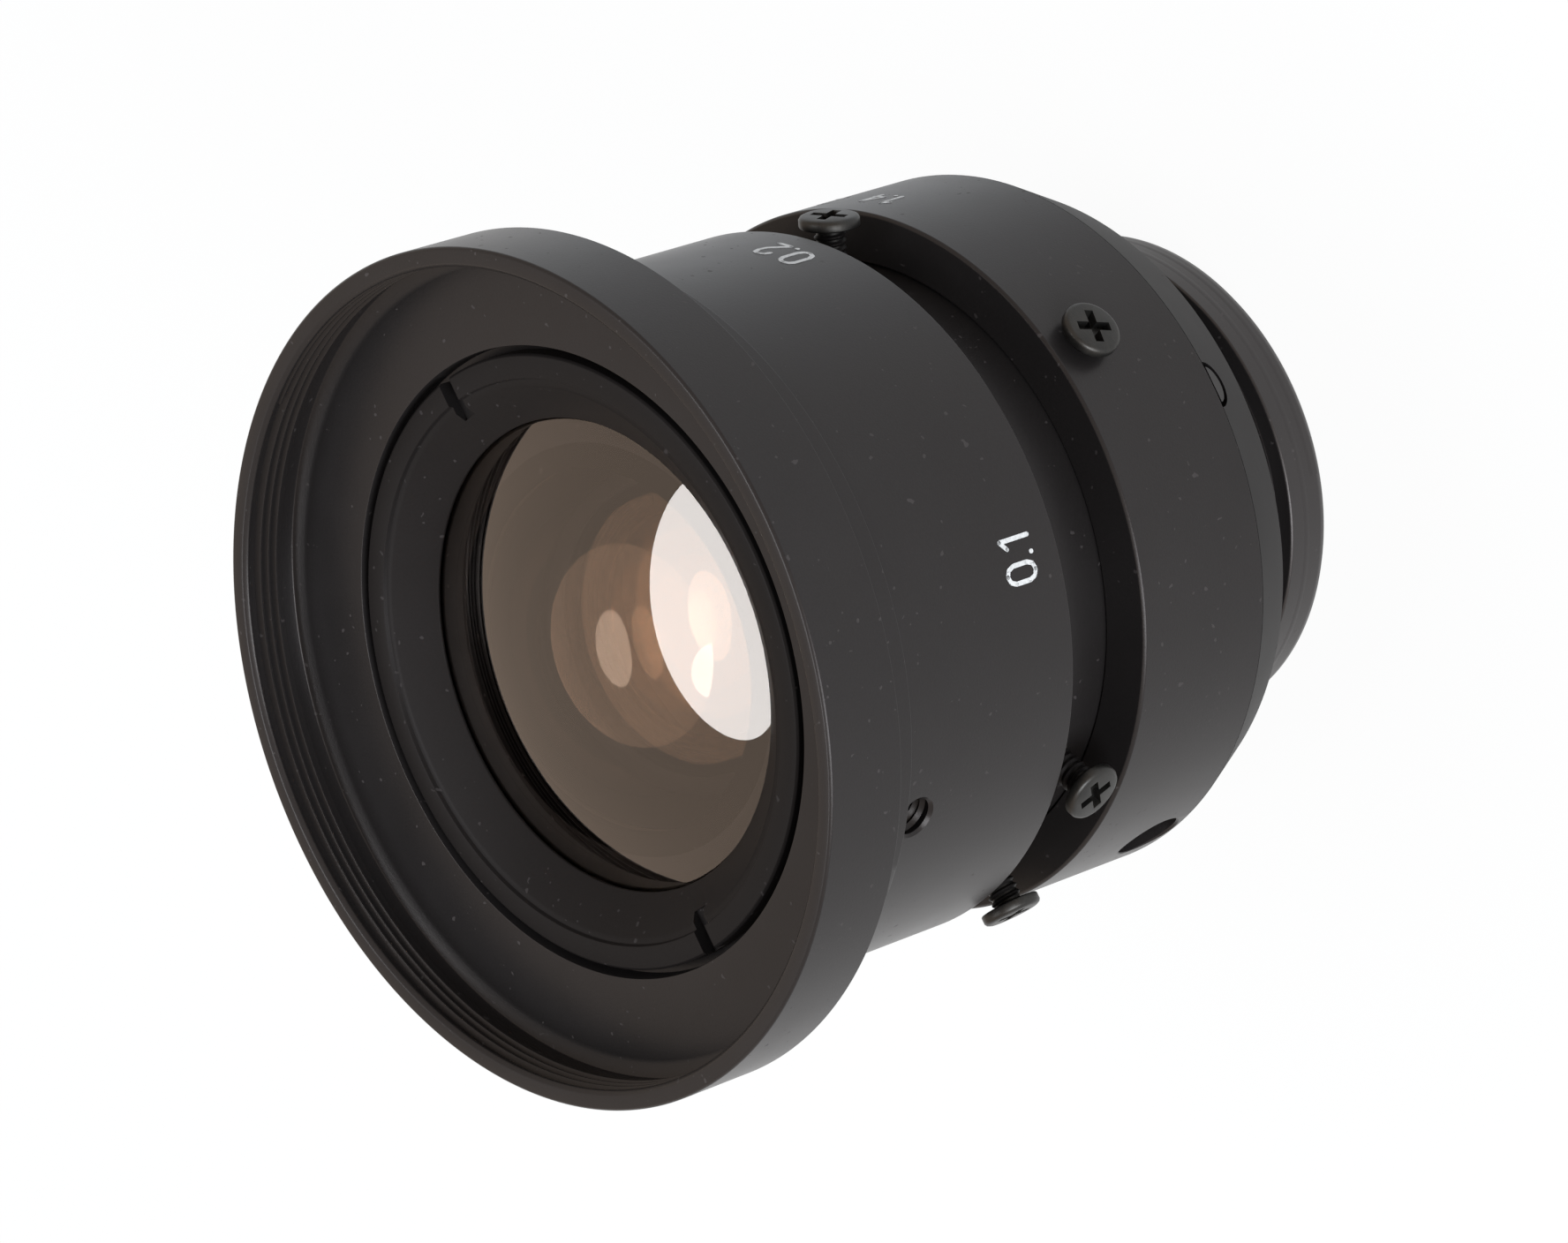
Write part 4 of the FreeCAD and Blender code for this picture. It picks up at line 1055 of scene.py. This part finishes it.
@dataclass
class FocusBarrel:
    """Plain focus barrel with its neck, tapped hole, lock screw holes and focus numbers."""

    radius: float = 17.7
    bore: float = 15.6
    top: float = 36.82
    low: float = 24.62
    neck: float = 15.2
    neck_bore: float = 13.95
    neck_end: float = 19.05
    floor: float = 25.82
    chamfer: float = 0.14
    screw_height: float = 22.27
    screw_angles: Point3 = (79.3, -36.8, -66.4)
    screw_hole: float = 0.85
    tapped_angle: float = -29.6
    tapped_height: float = 34.65
    tapped_radius: float = 0.97
    tapped_crest: float = 0.95
    tapped_root: float = 1.12
    tapped_inner: float = 15.0
    tapped_start: float = 15.75
    tapped_pitch: float = 0.4

    TAPPED_TURNS = 4

    def build(self, shop: Workshop) -> None:
        """Builds the barrel and its marks.

        Args:
            shop: dresses the pieces.
        """
        chamfer = self.chamfer
        section = Section((self.neck_bore, self.neck_end)).line(
            (self.neck, self.neck_end), (self.neck, self.low), (self.radius - chamfer, self.low),
            (self.radius, self.low + chamfer), (self.radius, self.top - chamfer),
            (self.radius - chamfer, self.top), (self.bore, self.top), (self.bore, self.floor),
            (self.neck_bore, self.floor))
        ridges: list[Point] = []
        for turn in range(self.TAPPED_TURNS):
            at = self.tapped_start + turn * self.tapped_pitch
            ridges += [(self.tapped_crest, at), (self.tapped_root, at + self.tapped_pitch / 2)]
        tapped = drill(self.tapped_radius, self.tapped_inner, self.radius, 0.17,
                       outwards(self.tapped_angle, self.tapped_height), ridges)
        holes = [drill(self.screw_hole, self.neck_bore - 0.95, self.neck, 0.08,
                       outwards(angle, self.screw_height)) for angle in self.screw_angles]
        shop.turn("focus_barrel", section, Body.FOCUS, edge=0.04, segments=256,
                  cutters=[tapped] + holes)
        for name, text, angle, height in (("focus_mark_near", "0.1", 6.0, 27.35),
                                          ("focus_mark_middle", "0.2", 73.2, 27.16),
                                          ("focus_mark_far", "0.5", 113.6, 27.16),
                                          ("focus_mark_infinity", "~", 140.6, 27.16)):
            Marking(text, angle, height, self.radius).build(shop, name, Body.FOCUS)


@dataclass
class IrisRing:
    """Iris ring with its lip, round hole, lock screw hole and stop numbers."""

    radius: float = 17.8
    low: float = 11.555
    top: float = 19.92
    lip: float = 15.3
    lip_low: float = 19.0
    bore: float = 15.9
    chamfer: float = 0.14
    hole_radius: float = 1.66
    hole_angle: float = -61.0
    hole_height: float = 13.5
    lock_radius: float = 0.85
    lock_angle: float = 35.6
    lock_height: float = 17.6
    cut_inner: float = 15.0
    mark_height: float = 17.3

    def build(self, shop: Workshop) -> None:
        """Builds the ring and its numbers.

        Args:
            shop: dresses the pieces.
        """
        section = Section((self.bore, self.low)).line(
            (self.radius, self.low), (self.radius, self.top - self.chamfer),
            (self.radius - self.chamfer, self.top), (self.lip, self.top), (self.lip, self.lip_low),
            (self.bore, self.lip_low))
        holes = [drill(self.hole_radius, self.cut_inner, self.radius, 0.12,
                       outwards(self.hole_angle, self.hole_height)),
                 drill(self.lock_radius, self.cut_inner, self.radius, 0.1,
                       outwards(self.lock_angle, self.lock_height))]
        shop.turn("iris_ring", section, Body.IRIS, edge=0.04, segments=256, cutters=holes)
        stops = (("1.4", 83.6), ("2", 95.5), ("4", 106.5), ("8", 118.0))
        for number, (text, angle) in enumerate(stops, start=1):
            mark = Marking(text, angle, self.mark_height, self.radius, tall=1.5, wide=0.85, stroke=0.2)
            mark.build(shop, f"iris_mark_{number}", Body.IRIS)


@dataclass
class MountBase:
    """Camera thread, flange and tapered rim with its half-round mark, and the guide tube inside."""

    thread_radius: float = 12.7
    thread_end: float = 3.8
    thread_pitch: float = 0.794
    groove: float = 11.75
    flange: float = 6.2
    boss: float = 14.2
    rim: float = 8.3
    rim_radius: float = 16.15
    shoulder: float = 16.4
    ring_radius: float = 17.8
    seam: float = 11.55
    seat: float = 15.85
    seat_end: float = 18.9
    tube: float = 13.9
    tube_end: float = 29.56
    bore: float = 12.65
    inner_floor: float = 10.1
    rear_bore: float = 10.6
    index_angle: float = 22.2
    mark_radius: float = 0.96
    pocket_radius: float = 1.22

    COIL_STEPS = 160

    def build(self, shop: Workshop) -> None:
        """Builds the base, its mark and its thread.

        Args:
            shop: dresses the pieces.
        """
        root, end = self.thread_radius - 0.02, self.thread_end
        foot = self.rim + 0.25
        section = Section((self.rear_bore, 0.0)).line(
            (root - 1.6, 0.0), (root - 1.2, 0.22), (root - 0.35, 1.02), (root - 0.08, 1.35), (root, 1.7),
            (root, end - 0.1), (root - 0.1, end), (self.groove, end), (self.groove, self.flange),
            (self.boss - 0.2, self.flange), (self.boss, self.flange + 0.2), (self.boss, self.rim),
            (self.rim_radius, self.rim), (self.rim_radius, foot), (self.shoulder, foot),
            (self.ring_radius, self.seam), (self.seat, self.seam), (self.seat, self.seat_end),
            (self.tube, self.seat_end), (self.tube, self.tube_end), (self.bore, self.tube_end),
            (self.bore, self.inner_floor), (self.rear_bore, self.inner_floor))
        pocket = self.half_round(self.pocket_radius, 16.2, 19.0, self.seam + 0.2)
        # The base's darker finish is painted shade: its tapered rim faces the bright floor, and the darker
        # colour holds it to the iris ring's tone.
        part = shop.turn("mount_base", section, Body.BASE, edge=0.04, segments=256,
                         cutters=[pocket], finish=shop.dull_and_shaded)
        part.data.materials.append(shop.thread)
        for face in part.data.polygons:
            face.material_index = int(face.center.z < (end + 0.05) * MM)
        self.mark(shop, foot)
        coil = helix(root - 0.02, self.thread_radius - 0.005, end / 2, end - 0.45, self.thread_pitch,
                     self.COIL_STEPS)
        thread = to_object("mount_base_camera_thread", coil)
        shop.keep(thread, Body.BASE.value, Slot.ANODISED, finish=shop.thread, weighted=False)

    def mark(self, shop: Workshop, foot: float) -> None:
        """Builds the half-round mark in its pocket, flush with the taper.

        Args:
            shop: dresses the piece.
            foot: height in millimetres at which the taper starts.
        """
        mesh = self.half_round(self.mark_radius, 16.22, 18.5, self.seam - 0.15)
        turn = math.radians(self.index_angle)
        cosine, sine = math.cos(turn), math.sin(turn)
        rise, run = self.seam - foot, self.ring_radius - self.shoulder
        reach = self.ring_radius - 0.03
        corner = (reach * cosine * MM, reach * sine * MM, self.seam * MM)
        clip(mesh, corner, (rise * cosine, rise * sine, -run))
        shop.keep(to_object("index_mark", mesh), Body.BASE.value, Slot.INDEX, ["index_plug"])

    def half_round(self, radius: float, inner: float, outer: float, top: float) -> BMesh:
        """A half-round block on the seam, straight side to the front.

        Args:
            radius: its radius in millimetres.
            inner: distance of its inner end from the axis.
            outer: distance of its outer end.
            top: height of its straight side.

        Returns:
            The block.
        """
        section = Section((0.0, inner)).line((radius, inner), (radius, outer), (0.0, outer))
        mesh = section.turned(HOLE_STEPS, 0.0)
        mesh.transform(outwards(self.index_angle, self.seam))
        clip(mesh, (0.0, 0.0, top * MM), (0.0, 0.0, 1.0))
        return mesh


@dataclass
class RearCell:
    """Rear barrel's nose with the ring that holds the last glass."""

    nose: float = 9.8
    end: float = 2.2
    seat: float = 7.62
    wall: float = 11.33
    step: float = 11.0
    top: float = 13.5
    lip: float = 6.7
    lip_low: float = 12.6
    ring_low: float = 2.9
    ring_top: float = 4.5
    ring_radius: float = 7.6

    def build(self, shop: Workshop) -> None:
        """Builds the rear barrel and its ring.

        Args:
            shop: dresses the pieces.
        """
        section = Section((self.seat, self.end)).line(
            (self.nose - 0.2, self.end), (self.nose, self.end + 0.2), (self.nose, self.step),
            (self.wall, self.step), (self.wall, self.top), (self.lip, self.top), (self.lip, self.lip_low),
            (self.seat, self.lip_low))
        shop.turn("rear_cell", section, Body.OPTICS, edge=0.04)
        ring = Section((self.lip, self.ring_low + 0.05)).line(
            (self.lip + 0.2, self.ring_low), (self.ring_radius, self.ring_low),
            (self.ring_radius, self.ring_top), (self.lip, self.ring_top))
        slots = [block((1.4, 0.8, 0.9), (self.ring_radius - 0.2, 0.0, self.ring_low),
                       Matrix.Rotation(math.radians(angle), 4, "Z")) for angle in (20, 200)]
        shop.turn("rear_retaining_ring", ring, Body.OPTICS, edge=0.02,
                  segments=128, cutters=slots)


@dataclass
class Studio:
    """Pale floor, soft lamps and an even white surround."""

    floor_size: float = 3.0
    floor_grey: float = 0.8
    floor_glow: float = 0.95
    # A round patch of painted shade in the floor's glow, seen only in reflections: its middle, its inner
    # and outer radii and its level.
    painted_shade_middle: Point = (-0.012, 0.045)
    painted_shade_radii: Point = (0.018, 0.042)
    painted_shade_level: float = 0.1
    lamp_colour: Point3 = (0.95, 1.0, 1.05)
    lamp_aim: Point3 = (0.0, 0.0, 0.022)

    def build(self) -> None:
        """Builds the floor, the world and the lamps."""
        self.world()
        self.floor()
        for name, place, sides, power in (("front_softbox", (-0.09, 0.0, 0.62), (0.54, 0.3), 2.5),
                                          ("side_softbox", (0.56, -0.22, 0.28), (0.4, 0.4), 4.2)):
            self.lamp(name, Vector(place), sides, power)

    @staticmethod
    def seen(graph: Graph, mirrored: Any, lit: float) -> Value:
        """How white the surround looks, by the ray that meets it.

        Args:
            graph: where the nodes go.
            mirrored: how white polished and satin surfaces see it.
            lit: how white it is as a light.

        Returns:
            One for camera and transmission rays, else one of the two levels.
        """
        path = graph.add("ShaderNodeLightPath", {}, {})
        camera, glossy, through = (Value(graph, path.outputs[name]) for name in (
            "Is Camera Ray", "Is Glossy Ray", "Is Transmission Ray"))
        return lit + (1.0 - lit) * camera.most(through) + glossy * (mirrored - lit)

    def world(self) -> None:
        """Makes the surround white where it is seen and softer where it lights."""
        world = bpy.data.worlds.new("studio")
        bpy.context.scene.world = world
        graph = Graph(world)
        strength = self.seen(graph, 0.75, 0.42)
        path = graph.add("ShaderNodeLightPath", {}, {})
        tint = graph.blend(Value(graph, path.outputs["Is Glossy Ray"]), grey(1.0), (1.0, 0.84, 0.71, 1.0))
        graph.finish(graph.node("ShaderNodeBackground", {}, {"Color": tint, "Strength": strength}),
                     "ShaderNodeOutputWorld")

    def floor(self) -> None:
        """Makes the floor, white to the eye; a round patch of painted shade beside the lens dims its glow
        where the lens reflects it.
        """
        mesh = bmesh.new()
        bmesh.ops.create_grid(mesh, x_segments=8, y_segments=8, size=self.floor_size / 2,
                              matrix=Matrix.Translation((0, 0, -0.02 * MM)))
        part = to_object("studio_floor", mesh)
        material = bpy.data.materials.new("studio_floor")
        graph = Graph(material)
        lit = graph.node("ShaderNodeBsdfDiffuse", {}, {"Color": grey(self.floor_grey)})
        split = graph.add("ShaderNodeSeparateXYZ", {}, {0: graph.place()})
        across, along = (Value(graph, split.outputs[axis]) - middle
                         for axis, middle in enumerate(self.painted_shade_middle))
        start, end = self.painted_shade_radii
        # Painted shade: inside this round patch beside the lens, the floor's glow in reflections drops to
        # the patch's level.
        side = graph.node("ShaderNodeMapRange", {"interpolation_type": "SMOOTHSTEP"}, {
            "Value": (across * across + along * along) ** 0.5, "From Min": start, "From Max": end,
            "To Min": self.painted_shade_level, "To Max": 1.0})
        glow = graph.node("ShaderNodeEmission", {}, {"Color": grey(1.0), "Strength": 1.0})
        share = self.seen(graph, side, 0.0) * self.floor_glow
        graph.finish(graph.node("ShaderNodeMixShader", {}, {0: share, 1: lit, 2: glow}))
        part.data.materials.append(material)

    def lamp(self, name: str, place: Vector, sides: Point, power: float) -> None:
        """Makes one soft lamp that looks at the lens.

        Args:
            name: the lamp's name.
            place: where it hangs, in metres.
            sides: its two sides in metres.
            power: its power in watts.
        """
        data = bpy.data.lights.new(name, "AREA")
        data.shape = "ELLIPSE"
        data.color = self.lamp_colour
        data.size, data.size_y = sides
        data.energy = power
        lamp = bpy.data.objects.new(name, data)
        lamp.location = place
        direction = Vector(self.lamp_aim) - place
        lamp.rotation_euler = direction.to_track_quat("-Z", "Y").to_euler()
        bpy.context.scene.collection.objects.link(lamp)


@dataclass(frozen=True)
class PhotoCamera:
    """The photograph's camera, in the lens's own frame."""

    place: Point3 = (0.254563, 0.054763, 0.251496)
    right: Point3 = (0.672762, -0.179023, -0.717874)
    back: Point3 = (0.739859, 0.162788, 0.652770)
    focal_pixels: float = 8000.0
    image_width: float = 1776.0
    sensor: float = 36.0

    def build(self) -> None:
        """Creates the camera and makes it the scene's own."""
        data = bpy.data.cameras.new("photo_camera")
        data.sensor_fit = "HORIZONTAL"
        data.sensor_width = self.sensor
        data.lens = self.sensor * self.focal_pixels / self.image_width
        data.clip_start = 0.01
        camera = bpy.data.objects.new("photo_camera", data)
        back = Vector(self.back).normalized()
        up = back.cross(Vector(self.right)).normalized()
        right = up.cross(back)
        turn = Matrix((right, up, back)).transposed().to_4x4()
        camera.matrix_world = Matrix.Translation(self.place) @ turn
        bpy.context.scene.collection.objects.link(camera)
        bpy.context.scene.camera = camera


def main() -> None:
    """Builds the lens, its studio and its camera."""
    logging.basicConfig(level=logging.INFO, format="%(name)s %(message)s")
    bpy.context.scene.view_settings.view_transform = "Standard"
    shop = Workshop()
    ring, barrel = IrisRing(), FocusBarrel()
    MountBase().build(shop)
    ring.build(shop)
    barrel.build(shop)
    FrontHood().build(shop)
    FrontRetainingRing().build(shop)
    GlassStack().build(shop)
    RearCell().build(shop)
    settings = zip(barrel.screw_angles, (18.19, 18.30, 18.70), (20.0, 29.0, 10.0))
    for number, (angle, top, spin) in enumerate(settings, start=1):
        LockScrew(f"focus_lock_screw_{number}", f"focus_lock_{number}", angle, barrel.screw_height,
                  tip=14.0, top=top, spin=spin).build(shop)
    LockScrew("iris_lock_screw", Body.IRIS_LOCK.value, ring.lock_angle, ring.lock_height,
              tip=15.35, top=18.85, spin=-18.0).build(shop)
    shop.dress_cad_nodes()
    Studio().build()
    PhotoCamera().build()


if __name__ == "__main__":
    main()
